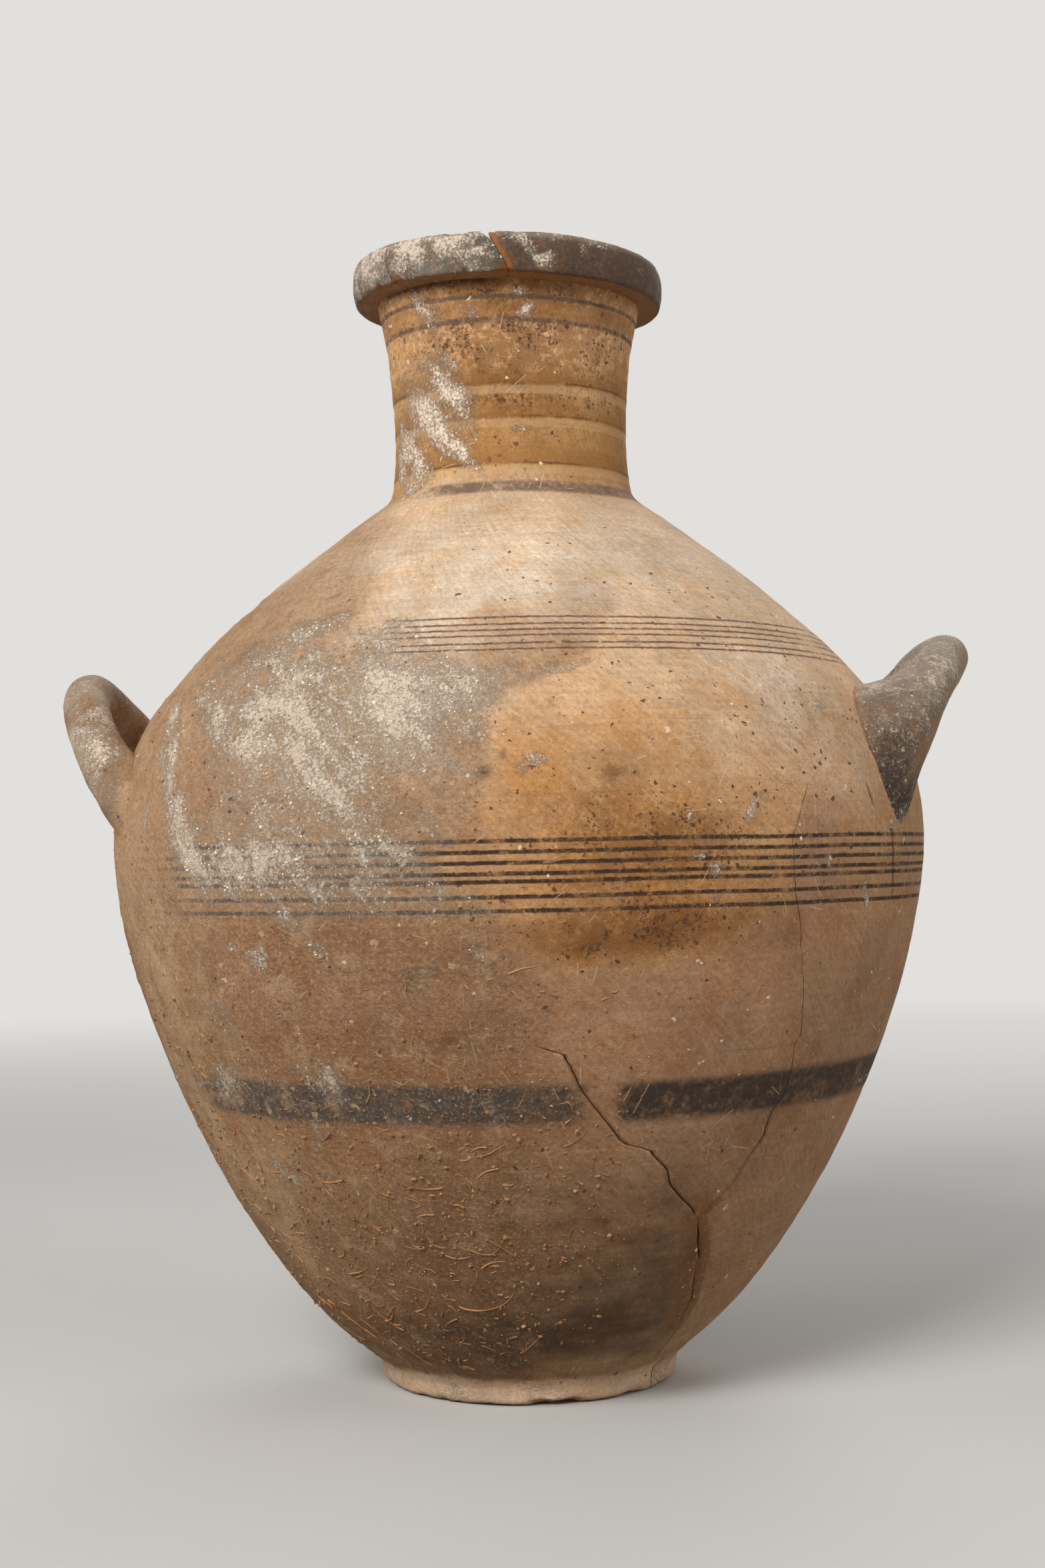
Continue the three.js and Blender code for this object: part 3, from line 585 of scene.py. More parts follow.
def wall_marks(angle, height, sherd=0.0):
    """What lies on the wall at each place: its ground colour and the shares of its covers, some of which are
    painted shade and a painted highlight.
    """
    places = around(angle, radius_at(height), height)
    neck = smooth(height, 404, 412)
    body = 1 - neck
    film = film_share(angle, height) * (1 - sherd) * body
    high = smooth(height, 205, 232)
    mottled = np.clip(0.9 + 0.7 * layered(places, 13, 12), 0.2, 1.3)
    past = wrapped(angle) - along(FRONT_BREAK, height)
    glued = (past > 0) * (1 - smooth(past, 3, 15)) * smooth(height, 204, 222) * (1 - smooth(height, 252, 276))
    aside = np.radians(past) * radius_at(height) + 1.8 * layered(places, 9, 39)
    strip = smooth(aside, -10.5, -9) * (1 - smooth(aside, 5, 6.5))
    strip = strip * smooth(height, 28, 40) * (1 - smooth(height, 94, 98))

    def on_body(spots, seed, wander=5.0):
        return spotted(angle, height, spots, seed, wander) * body

    levels, tones = zip(*GROUND)
    covers = [
        (OCHRE, on_body(OCHRE_SPOTS, 21) * mottled),
        (STAIN, on_body(STAIN_SPOTS, 24) * mottled),
        (LOW_FILM, 0.8 * film * (1 - high)),
        (FILM, 0.85 * film * high),
        (DUST, on_body(DUST_SPOTS, 38, 9) * mottled * (1 - sherd)),
        (PINK, on_body(PINK_SPOTS, 22) * mottled),
        # pale patches, partly a painted highlight on the shoulder's front
        (PALE, on_body(PALE_AND_HIGHLIGHT_SPOTS, 23) * mottled),
        (GLUED, 0.6 * glued),
        (GLUE, 0.7 * strip),
        (SMUDGE, on_body(SMUDGE_SPOTS, 26, 1.5)),
    ]
    ground = covered(graded(height + 9 * layered(places, 50, 11), levels, tones), covers)
    # Soil, with painted shade low on the front
    soil = spotted(angle, height, SOIL_AND_SHADE_SPOTS, 25, 9) * (1 - 0.8 * sherd) * body
    soil = soil * (0.88 + 0.28 * wisps(angle, height, 3, 36)) * (1 - 0.55 * strip)
    lime = on_body(LIME_SPOTS, 27, 4.5) + 1.15 * spotted(angle, height, NECK_LIME_SPOTS, 28, 2.5) * neck
    lime = lime * (0.6 + 0.8 * wisps(angle, height, -48, 37))
    front = 0.6 + 0.4 * np.exp(-((wrapped(angle - 2) / 40) ** 2))
    neck_specks = neck * (0.3 + 0.7 * smooth(height, 412, 460)) * front
    # Painted shadow under the rim on the left, where it sits on the neck, stored as a crack
    under_rim_shadow = smooth(wrapped(angle), -70, -58) * (1 - smooth(wrapped(angle), -8, 2))
    return {
        "ground": ground,
        "lime": np.clip(lime, 0, 1),
        "soil": np.clip(soil, 0, 1),
        "film": film,
        "speck": np.clip(on_body(SPECK_SPOTS, 29) + neck_specks, 0, 1),
        "painted": painted(angle, height),
        "level": height,
        "crack": 0.8 * smooth(height, 498.4, 500) * under_rim_shadow,
    }


def plain_marks(shape, **marks):
    """Some marks of a surface, with nothing of the others on it."""
    return {key: np.zeros(shape) for key in MARKS} | marks


def blended(marks, others, share):
    """Turns marks into other marks by a share."""
    for key in ("ground", "lime", "soil", "film"):
        part = share[..., None] if key == "ground" else share
        marks[key] = marks[key] + (others[key] - marks[key]) * part


def flattened(marks, extra):
    """Marks of a grid as lists of corners, with plain marks for so many extra corners."""
    flat = {}
    for key, values in marks.items():
        if key == "ground":
            flat[key] = np.vstack([values.reshape(-1, 3), np.tile(PLAIN_CLAY, (extra, 1))])
        else:
            flat[key] = np.concatenate([values.ravel(), np.zeros(extra)])
    return flat


def wall_lift(angle, height, marks):
    """How far the wall stands out at each place: dents, turning ridges, crust, grains and pits."""
    places = around(angle, radius_at(height), height)
    neck = smooth(height, 400, 415)
    dents = (1 - 0.6 * neck) * (0.8 * noise(places, 75, 1) + 0.3 * noise(places, 26, 2))
    turns = np.stack([height / 3.4, np.cos(np.radians(angle)), np.sin(np.radians(angle))], axis=-1)
    ridges = 0.11 * noise(turns, 1.0, 3)
    crust = marks["lime"] * (0.1 + 0.28 * layered(places, 6, 5))
    grains = (0.1 + marks["film"]) * 0.8 * np.maximum(noise(places, 4.2, 6) - 0.42, 0)
    pits = -1.4 * np.maximum(noise(places, 6.5, 7) - 0.72, 0)
    grit = (0.05 + 0.06 * marks["film"]) * noise(places, 4.0, 8)
    return dents + ridges + crust + grains + pits + grit


def wall_top(angle, height):
    """The wall's lift where something lies on it."""
    return wall_lift(angle, height, wall_marks(angle, height))


def leaned(places):
    """Places moved to where the leaning rim and neck put them."""
    moved = places.copy()
    moved[..., 2] -= RIM_LEAN * places[..., 0] * smooth(places[..., 2], LEAN_START, JAR_TOP)
    return moved


def grid_normals(grid, closed):
    """Outward directions at the points of a grid of places."""
    if closed:
        beside_it = np.roll(grid, -1, axis=1) - np.roll(grid, 1, axis=1)
    else:
        beside_it = np.gradient(grid, axis=1)
    return unit(np.cross(beside_it, np.gradient(grid, axis=0)))


def store_mark(mesh, key, values):
    """Stores one mark on the corners of a mesh."""
    if key == "ground":
        attribute = mesh.attributes.new(key, "FLOAT_COLOR", "POINT")
        solid = np.ones((len(values), 1))
        attribute.data.foreach_set("color", np.hstack([values, solid]).astype(np.float32).ravel())
    else:
        attribute = mesh.attributes.new(key, "FLOAT", "POINT")
        attribute.data.foreach_set("value", values.astype(np.float32).ravel())


def set_normals(mesh, kinds, normals):
    """Gives the outer faces of a wall the directions of its corners."""
    loops = np.zeros(len(mesh.loops), np.int64)
    mesh.loops.foreach_get("vertex_index", loops)
    totals = np.zeros(len(kinds), np.int64)
    mesh.polygons.foreach_get("loop_total", totals)
    outside = np.repeat(np.array(kinds) == OUTSIDE, totals)
    mesh.normals_split_custom_set(np.where(outside[:, None], normals[loops], 0).tolist())


def make_piece(name, corners, faces, kinds, materials, marks, normals=None):
    """A mesh object from corners in mm, with its marks stored on its corners."""
    mesh = bpy.data.meshes.new(name)
    mesh.from_pydata((leaned(corners) * MM).tolist(), [], faces)
    for material in materials:
        mesh.materials.append(material)
    mesh.polygons.foreach_set("material_index", kinds)
    mesh.polygons.foreach_set("use_smooth", [True] * len(faces))
    for key, values in marks.items():
        store_mark(mesh, key, values)
    mesh.set_sharp_from_angle(angle=math.radians(SHARP_ANGLE))
    if normals is not None:
        set_normals(mesh, kinds, normals)
    mesh.validate()
    piece = bpy.data.objects.new(name, mesh)
    bpy.context.scene.collection.objects.link(piece)
    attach(piece, "root")
    return piece


def stand_for(node):
    """The piece takes the place of a CAD node, which it hides."""
    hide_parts(node)


def extra_piece(name, corners, faces, material):
    """A piece that stands for no CAD node, all of one given material."""
    piece = make_piece(name, corners, faces, [OUTSIDE] * len(faces), [material], {})


def shell_faces(outer_shape, keep, closed):
    """Faces of a wall: its outside, its coarser inside and its edges. Also the kind of each face."""
    rows, columns = outer_shape
    groups, cells = keep.shape

    def out(row, column):
        return row * columns + column % columns

    def inn(group, column):
        return (rows + group) * columns + column % columns

    def kept(group, cell):
        if closed:
            cell %= cells
        return 0 <= group < groups and 0 <= cell < cells and keep[group, cell]

    faces = []
    kinds = []
    for group, cell in zip(*np.nonzero(keep)):
        group, cell, after = int(group), int(cell), int(cell) + 1
        low, high = group * INSIDE_ROWS, (group + 1) * INSIDE_ROWS
        left = [out(row, cell) for row in range(low, high + 1)]
        right = [out(row, after) for row in range(low, high + 1)]
        inner = [inn(group, cell), inn(group + 1, cell), inn(group + 1, after), inn(group, after)]
        for k in range(INSIDE_ROWS):
            faces.append((left[k], right[k], right[k + 1], left[k + 1]))
        edges = []
        if not kept(group, cell - 1):
            edges.append((*left, inner[1], inner[0]))
        if not kept(group, after):
            edges.append((*right[::-1], inner[3], inner[2]))
        if not kept(group - 1, cell):
            edges.append((right[0], left[0], inner[0], inner[3]))
        if not kept(group + 1, cell):
            edges.append((left[-1], right[-1], inner[2], inner[1]))
        faces += [tuple(inner), *edges]
        kinds += [OUTSIDE] * INSIDE_ROWS + [INSIDE] + [EDGE] * len(edges)
    return faces, kinds


def wall_piece(
    name, node, angles, heights, materials,
    wall=BODY_WALL, sherd=0.0, keep=None, closed=False, sunk=None, extra_lift=0.0,
):
    """A piece of the jar's wall over a grid of angles at heights."""
    levels = np.repeat(heights[:, None], angles.shape[1], axis=1)
    marks = wall_marks(angles, levels, sherd)
    lift = wall_lift(angles, levels, marks) + extra_lift
    if sunk is not None:
        # The sunk cracks are coloured near black: painted shade in their depths
        marks["crack"] = smooth(sunk, 0.4, 1.5)
        lift = lift - sunk
    outer = on_wall(angles, levels, lift)
    ways = slice(None, None, INSIDE_ROWS)
    inside = on_wall(angles[ways], levels[ways], -wall + 0.3 * noise(outer[ways], 30, 9))
    if keep is None:
        cells = angles.shape[1] if closed else angles.shape[1] - 1
        keep = np.ones((len(heights) // INSIDE_ROWS, cells), bool)
    faces, kinds = shell_faces(angles.shape, keep, closed)
    corners = np.vstack([outer.reshape(-1, 3), inside.reshape(-1, 3)])
    normals = np.zeros(corners.shape)
    normals[: outer.size // 3] = grid_normals(outer, closed).reshape(-1, 3)
    used = np.unique(np.concatenate(faces))
    place = np.zeros(len(corners), np.int64)
    place[used] = np.arange(len(used))
    faces = [tuple(place[list(face)].tolist()) for face in faces]
    flat = {key: values[used] for key, values in flattened(marks, inside.size // 3).items()}
    piece = make_piece(name, corners[used], faces, kinds, materials, flat, normals[used])
    stand_for(node)


def spread(edges, counts):
    """Columns at even shares between edges, which are angles at each row."""
    parts = [edges[0][:, None]]
    for left, right, count in zip(edges, edges[1:], counts):
        share = np.arange(1, count + 1) / count
        parts.append(left[:, None] + (right - left)[:, None] * share)
    return np.concatenate(parts, axis=1)


def beside(line, heights, distance):
    """A line of angles moved aside by so many mm."""
    return line + np.degrees(distance / radius_at(heights))


def crack_edges(line, heights, half_width):
    """Edges of columns that follow a crack: a little way off it, its lips and its middle."""
    distances = (-CRACK_MARGIN, -half_width, 0, half_width, CRACK_MARGIN)
    return [beside(line, heights, distance) for distance in distances]


def main_columns(heights):
    """Columns from the back break round the left side and the front to the front break."""
    front = along(FRONT_BREAK, heights, 0.5, 41) + 360
    back = along(BACK_BREAK, heights, 0.5, 42)
    crack = along(FRONT_CRACK, heights, 0.45, 43) + 360
    crack = np.minimum(crack, beside(front, heights, -3.4))
    edges = [back, *crack_edges(crack, heights, 0.42), front]
    return spread(edges, [COLUMNS_LEFT, *CRACK_COLUMNS, COLUMNS_FRONT])


def sherd_columns(heights, front_gap=0.0, back_gap=0.0):
    """Columns of the sherd on the right, from the front break to the back break."""
    front = beside(along(FRONT_BREAK, heights, 0.5, 41), heights, front_gap)
    back = beside(along(BACK_BREAK, heights, 0.5, 42), heights, -back_gap)
    crack = along(TAIL_CRACK, heights, 0.3, 44)
    crack = np.maximum(crack, beside(front, heights, 4))
    edges = [front, *crack_edges(crack, heights, 1.6), back]
    return spread(edges, [COLUMNS_SHERD_NEAR, *CRACK_COLUMNS, COLUMNS_SHERD_FAR])


def all_columns(heights):
    """Columns all the way round."""
    return np.concatenate([main_columns(heights), sherd_columns(heights)[:, 1:-1] + 360], axis=1)


def break_gap(heights):
    """How far the front break stands open, in mm: wide below, a hairline above, closed at the top."""
    wide = 1 - smooth(heights, 86, 98)
    branch = 1 - smooth(heights, 126, 150)
    gap = 0.32 + 0.45 * wide + 0.25 * branch + 0.3 * (0.4 + wide) * layered(upright(heights), 8, 46)
    return np.maximum(gap, 0.12) * (1 - smooth(heights, 262, 276))


def sunk_columns(angles, heights, gap, lip, crack, low, high, depth):
    """How far two columns sink: the worn lip of the front break, and a crack between two heights."""
    sunk = np.zeros(angles.shape)
    branch = smooth(heights, 88, 94) * (1 - smooth(heights, 126, 150))
    worn = np.minimum(gap, 1) * (0.35 + 0.35 * layered(upright(heights), 6, 47)) + 0.5 * branch
    sunk[:, lip] = np.maximum(worn, 0)
    open_share = smooth(heights, low - 1, low + 3) * (1 - smooth(heights, high - 8, high))
    sunk[:, crack] = depth * open_share * (0.75 + 0.3 * noise(upright(heights), 9, 45))
    return sunk


def lower_wall(materials):
    """The lower body, with its open crack in front."""
    heights = rows_between(FOOT_TOP, BELLY, ROW_STEP)
    angles = main_columns(heights)
    crack = COLUMNS_LEFT + CRACK_MIDDLE
    sunk = sunk_columns(angles, heights, break_gap(heights), -1, crack, 90, 168, 4.5)
    wall_piece("lower_body_wall", "lower_body", angles, heights, materials, sunk=sunk)


def lower_sherd(materials):
    """The sherd on the right of the lower body, a little sunk."""
    heights = rows_between(FOOT_TOP, BELLY, ROW_STEP)
    gap = break_gap(heights)
    angles = sherd_columns(heights, gap, 0.4)
    crack = COLUMNS_SHERD_NEAR + CRACK_MIDDLE
    sunk = sunk_columns(angles, heights, gap, 0, crack, 221, 262, 2.5)
    settle = -0.5 * (1 - smooth(heights, 92, 120))[:, None] * np.linspace(1, 0.2, angles.shape[1])
    wall_piece(
        "lower_sherd_wall", "lower_body_sherd", angles, heights, materials,
        sherd=1.0, sunk=sunk, extra_lift=settle,
    )


def shoulder_wall(materials):
    """The shoulder, with a window for its sherd."""
    low = rows_between(BELLY, SHERD_TOP, ROW_STEP)
    heights = np.concatenate([low, rows_between(SHERD_TOP, NECK_FOOT, ROW_STEP)[1:]])
    angles = all_columns(heights)
    keep = np.ones((len(heights) // INSIDE_ROWS, angles.shape[1]), bool)
    keep[: len(low) // INSIDE_ROWS, COLUMNS_LEFT + len(CRACK_COLUMNS) + COLUMNS_FRONT :] = False
    wall_piece("shoulder_wall", "shoulder", angles, heights, materials, keep=keep, closed=True)


def shoulder_sherd(materials):
    """The sherd of the shoulder that carries the right handle."""
    heights = rows_between(BELLY, SHERD_TOP, ROW_STEP)
    gap = break_gap(heights)
    angles = sherd_columns(heights, gap)
    crack = COLUMNS_SHERD_NEAR + CRACK_MIDDLE
    sunk = sunk_columns(angles, heights, gap, 0, crack, 259, 272, 1.6)
    wall_piece("shoulder_sherd_wall", "shoulder_sherd", angles, heights, materials, sunk=sunk)


def neck_wall(materials):
    """The neck, with shallow steps under its painted bands."""
    heights = rows_between(NECK_FOOT, RIM_FOOT, NECK_ROW_STEP)
    angles = all_columns(heights)[:, ::2]
    steps = NECK_STEP * sum(smooth(heights, edge - 1.2, edge + 0.6) for edge in NECK_STEPS)
    lift = (steps - steps[0])[:, None]
    wall_piece(
        "neck_wall", "neck", angles, heights, materials, NECK_WALL, closed=True, extra_lift=lift
    )


def body_floor(material):
    """The floor inside the lower body, of the same clay as its inside."""
    outline = np.array(FLOOR_OUTLINE, float)
    turns = np.arange(FLOOR_SIDES) * 360 / FLOOR_SIDES
    places = around(turns[:, None], outline[:, 0], outline[:, 1])
    places[..., 2] += 0.25 * noise(places, 14, 51) * (outline[:, 0] < 60)
    count = len(outline)
    index = np.arange(FLOOR_SIDES * count).reshape(FLOOR_SIDES, count)
    after = np.roll(index, -1, axis=0)
    quads = np.stack([index[:, :-1], after[:, :-1], after[:, 1:], index[:, 1:]], axis=-1)
    faces = [*quads.reshape(-1, 4).tolist(), index[::-1, 0].tolist(), index[:, -1].tolist()]
    extra_piece("body_floor", places.reshape(-1, 3), faces, material)


def ring_faces(columns, points):
    """Faces of a closed section carried along a path, its ends left open."""
    index = np.arange(columns * points).reshape(columns, points)
    after = np.roll(index, -1, axis=1)
    quads = np.stack([index[:-1], index[1:], after[1:], after[:-1]], axis=-1)
    return quads.reshape(-1, 4).tolist()


def repeated(faces, count, points):
    """The faces of a shape with so many points, for a count of copies of it."""
    return [[index + k * points for index in face] for k in range(count) for face in faces]


def cap(corners, ring, first):
    """A broken end: rings that shrink into the section, with a rough face. Returns corners and faces."""
    edge = corners[ring]
    centre = edge.mean(axis=0)
    facing = unit(np.cross(edge[len(ring) // 3] - centre, edge[0] - centre))
    faces = []
    before = ring
    for share in CAP_RINGS:
        places = centre + (edge - centre) * share
        places = places + facing * (CAP_ROUGHNESS * layered(places, 5, 61 + first))[:, None]
        now = len(corners) + np.arange(len(ring))
        corners = np.vstack([corners, places])
        quads = np.stack([before, np.roll(before, -1), np.roll(now, -1), now], axis=-1)
        faces += (quads if first else quads[:, ::-1]).tolist()
        before = now
    faces.append((before if first else before[::-1]).tolist())
    return corners, faces


def bar_piece(name, node, grid, marks, materials):
    """A swept section with rough caps, which are of its last material, in the place of a CAD node."""
    columns, points = grid.shape[:2]
    corners = grid.reshape(-1, 3)
    faces = ring_faces(columns, points)
    kinds = [OUTSIDE] * len(faces)
    for start, first in ((0, True), ((columns - 1) * points, False)):
        corners, more = cap(corners, start + np.arange(points), first)
        faces += more
        kinds += [len(materials) - 1] * len(more)
    flat = flattened(marks, len(corners) - columns * points)
    piece = make_piece(name, corners, faces, kinds, materials, flat)
    stand_for(node)


def curve(*points, steps=8):
    """Points along a curve with one control point between its ends."""
    start, middle, end = (np.array(point, float) for point in points)
    share = np.linspace(0, 1, steps + 1)[:, None]
    return (1 - share) ** 2 * start + 2 * share * (1 - share) * middle + share**2 * end


def ragged_end(section, size, seed):
    """How far the points of a section stand out where it is broken."""
    places = np.stack([section[:, 1], section[:, 0], 0 * section[:, 0]], axis=-1)
    return size * layered(places, 5, seed)


def carried(section, angles):
    """A section carried round the axis: its places and their outward directions."""
    places = around(angles, section[:, 0], section[:, 1])
    sideways = np.roll(places, -1, axis=1) - np.roll(places, 1, axis=1)
    return places, unit(np.cross(np.gradient(places, axis=0), sideways))


def rim_section():
    """The rim's section as radii and heights: underside, face, top and mouth."""
    underside = np.linspace((59, 500.4), (69.5, 500.9), 8)
    lip = curve((69.5, 500.9), (71.8, 500.8), (72.2, 502.4), steps=4)
    face = curve((72.2, 502.4), (74.1, 509), (72.8, 515), steps=10)
    edge = curve((72.8, 515), (71.8, 519.8), (67.2, 520), steps=8)
    mouth = curve((67.2, 520), (58.5, 518), (53.5, 504), steps=14)
    seat = np.linspace((53.5, 504), (59, 500.4), 4)
    return np.vstack([underside, lip[1:], face[1:], edge[1:], mouth[1:], seat[1:-1]])


def rim_lime(angle, places, left):
    """Lime on the rim, thick on its left side and in spots."""
    radius = np.hypot(places[..., 0], places[..., 1])
    level = np.clip(places[..., 2], RIM_FOOT, JAR_TOP)
    lime = 0.04 + 0.36 * left * (1 + 0.9 * layered(places, 11, 77))
    aside = 2.5 * layered(places, 9, 71)
    for centre, middle, wide, tall, lean, strength in RIM_LIME_SPOTS:
        across = np.radians(wrapped(angle - centre)) * radius + aside
        lime = lime + 0.75 * strength * blot(across, level - middle + 0.5 * aside, wide, tall, lean)
    return lime


def rim_chips(angle, places):
    """Where the rim is chipped down to the clay."""
    radius = np.hypot(places[..., 0], places[..., 1])
    chip = np.zeros(radius.shape)
    for centre, middle, wide, tall in RIM_CHIPS:
        across = np.radians(wrapped(angle - centre)) * radius
        spot = np.exp(-((across / wide) ** 4) - ((places[..., 2] - middle) / tall) ** 4)
        chip = np.maximum(chip, spot * (radius > 69))
    return chip


def rim_marks(angle, places, chip):
    """What lies on the rim: slip, lime and chips, and painted shade on its bare underside."""
    height = places[..., 2]
    radius = np.hypot(places[..., 0], places[..., 1])
    left = 1 - smooth(wrapped(angle), -12, 8) * (1 - smooth(wrapped(angle), 100, 160))
    under = (1 - smooth(height, 501, 501.9)) * smooth(73 - radius, 1.5, 3)
    mouth = smooth(64 - radius, 0, 4)
    grey = left * (0.7 + 0.5 * layered(places, 14, 72))
    edge = smooth(height, 515.5, 518.5) * (0.5 + 0.35 * layered(places, 9, 73))
    rust = np.clip(1.8 * layered(places, 7, 74) - 0.4, 0, 0.7) * (0.4 + 0.6 * smooth(height, 512, 518))
    covers = [
        (tone(168, 150, 132), edge),
        (tone(150, 104, 66), rust),
        # bare clay of the underside, darkened as painted shade under the rim
        (tone(158, 114, 72), 0.9 * under),
        (tone(150, 116, 84), 0.7 * mouth),
        (FRACTURE, chip),
    ]
    patchy = 0.75 + 0.6 * layered(places, 5, 75)
    lime = rim_lime(angle, places, left) * (1 - chip) * patchy * (1 - mouth) * (1 - under)
    return plain_marks(
        height.shape,
        ground=covered(SLIP_WARM + (SLIP_GREY - SLIP_WARM) * grey[..., None], covers),
        lime=np.clip(lime, 0, 1),
        soil=0.25 * mouth,
        film=0.25 + 0.3 * left,
        speck=0.3 * (1 - under),
    )


def rim_piece(name, node, start, end, count, materials, opened_left=0.0, opened_right=0.0, bare=0.0):
    """A piece of the rim between two breaks.

    An opened end has lost a chip of that width at its top. A bare left end shows a strip of broken clay.
    """
    section = rim_section()
    rise = (section[:, 1] - RIM_FOOT) / (JAR_TOP - RIM_FOOT)
    ragged = ragged_end(section, 0.6, 62)
    notch = smooth(section[:, 1], 513.5, JAR_TOP)
    gap = 0.2
    moved_left = np.degrees((gap + ragged + opened_left * notch) / RIM_RADIUS)
    moved_right = np.degrees((-gap + ragged - opened_right * notch) / RIM_RADIUS)
    left = start[0] + (start[1] - start[0]) * rise + moved_left
    right = end[0] + (end[1] - end[0]) * rise + moved_right
    angles = left + (right - left) * np.linspace(0, 1, count)[:, None]
    base, normals = carried(section, angles)
    chip = rim_chips(angles, base)
    marks = rim_marks(angles, base, chip)
    inward = np.radians(angles - left) * RIM_RADIUS + 0.5 * layered(base, 4, 67)
    strip = (1 - smooth(inward, bare - 0.5, bare + 0.3)) * smooth(section[:, 0], 66, 69.5) * (bare > 0)
    marks["ground"] = covered(marks["ground"], [(FRACTURE, strip)])
    for key in ("lime", "film"):
        marks[key] = marks[key] * (1 - strip)
    worn = np.maximum(layered(base, 9, 63) - 0.35, 0) * smooth(base[..., 2], 514, 519)
    lift = 0.35 * noise(base, 30, 64) + 0.14 * layered(base, 6, 65) + marks["lime"] * 0.3 * noise(base, 4, 66)
    grid = base + normals * (lift - 0.8 * worn - 1.2 * np.maximum(chip, strip))[..., None]
    bar_piece(name, node, grid, marks, materials)


def rim(materials):
    """The rim in three pieces."""
    front, middle, back = RIM_FRONT_BREAK, RIM_MIDDLE_BREAK, RIM_BACK_BREAK
    round_back = (back[0] + 360, back[1] + 360)
    rim_piece("rim_front", "rim_sherd_front", middle, front, RIM_FRONT_COLUMNS, materials, opened_right=3.2)
    rim_piece("rim_left", "rim_sherd_left", back, middle, RIM_LEFT_COLUMNS, materials)
    rim_piece(
        "rim_ring", "rim_main", front, round_back, RIM_RING_COLUMNS, materials,
        opened_left=0.4, bare=3.0,
    )


def foot_section():
    """The foot's section as radii and heights, and how far each point follows the wall."""
    smear_steps = 9
    hidden_points = 5
    reach = float(radius_at(FOOT_SMEAR))
    under = np.linspace((50, 0.2), (62.5, 0.2), 8)
    edge = curve((62.5, 0.2), (67.8, 0.2), (68.2, 3.6), steps=6)
    face = np.linspace((68.2, 3.6), (68.5, 6.6), 5)
    smear = curve((68.5, 6.6), (68.3, 10.4), (reach, FOOT_SMEAR), steps=smear_steps)
    hidden = np.linspace((reach - 1.2, FOOT_SMEAR + 0.8), (62, 9.2), hidden_points)
    inside = curve((56, 6.2), (51, 5.4), (50, 0.2), steps=6)
    before = np.vstack([under, edge[1:], face[1:]])
    section = np.vstack([before, smear[1:], hidden, inside[:-1]])
    rising = np.linspace(0, 1, smear_steps + 1)[1:]
    falling = np.linspace(1, 0, hidden_points)
    follow = np.concatenate([np.zeros(len(before)), rising, falling, np.zeros(len(inside) - 1)])
    return section, follow


def foot_piece(name, node, start, end, count, materials, sherd):
    """A piece of the foot between two breaks, its lower edge worn and its top smeared on to the wall."""
    section, follow = foot_section()
    ragged = np.degrees(ragged_end(section, 0.8, 81) / FOOT_RADIUS)
    gap = np.degrees(0.35 / FOOT_RADIUS)
    angles = start + gap + ragged + (end - start - 2 * gap) * np.linspace(0, 1, count)[:, None]
    base, normals = carried(section, angles)
    front = wrapped(angles)
    worn_here = 0.5 + 0.9 * smooth(front, -16, -6) * (1 - smooth(front, 20, 30))
    low = 1 - smooth(base[..., 2], 1, 5)
    outside = smooth(section[:, 0], 58, 63)
    worn = worn_here * low * outside * np.maximum(layered(base, 9, 82) + 0.1, 0)
    chip = np.exp(-(((front - 14) / 9) ** 4)) * (1 - smooth(base[..., 2], 1.5, 3.6)) * outside
    lift = 0.5 * noise(base, 28, 83) + 0.35 * layered(base, 7, 84) - 1.7 * worn - 1.2 * chip
    smear = np.full(angles.shape, FOOT_SMEAR)
    wall = wall_marks(angles, smear, sherd)
    rise = wall_lift(angles, smear, wall) + 0.1
    outward = around(angles, *lean_at(FOOT_SMEAR))
    grid = base + normals * (lift * (1 - follow))[..., None] + outward * (rise * follow)[..., None]
    grid[..., 2] = np.maximum(grid[..., 2], 0.05)
    covers = [
        (tone(226, 186, 148), 0.5 + 0.5 * layered(base, 22, 85)),
        (tone(198, 156, 116), 0.8 * worn + chip),
    ]
    marks = plain_marks(
        angles.shape,
        # The foot's clay colour carries painted light
        ground=covered(LIT_FOOT_CLAY, covers),
        lime=np.clip(0.3 + 0.3 * layered(base, 15, 87), 0, 1) * 0.3,
        soil=0.25 * np.maximum(layered(base, 16, 86), 0),
        film=np.full(angles.shape, 0.4),
    )
    blended(marks, wall, smooth(follow + 0.2 * layered(base, 14, 88), 0.5, 0.95))
    bar_piece(name, node, grid, marks, materials)


def foot(materials):
    """The ring foot in two pieces."""
    front, back = FOOT_FRONT_BREAK, FOOT_BACK_BREAK
    foot_piece("foot_main", "foot_ring", back, front + 360, FOOT_COLUMNS, materials, 0.0)
    foot_piece("foot_chip", "foot_ring_sherd", front, back, FOOT_CHIP_COLUMNS, materials, 1.0)


def distances(points):
    """Distances between neighbouring points."""
    return np.linalg.norm(np.diff(points[:, :3], axis=0), axis=1)


def smooth_path(points, steps):
    """Even points on a smooth path through points, with whatever else each point carries."""
    points = np.array(points, float)
    way = np.concatenate([[0], np.cumsum(distances(points) ** 0.5)])
    fine = np.linspace(0, way[-1], steps * 8)
    dense = np.stack([spline(way, column, fine) for column in points.T], axis=-1)
    run = np.concatenate([[0], np.cumsum(distances(dense))])
    even = np.linspace(0, run[-1], steps)
    return np.stack([np.interp(even, run, column) for column in dense.T], axis=-1)


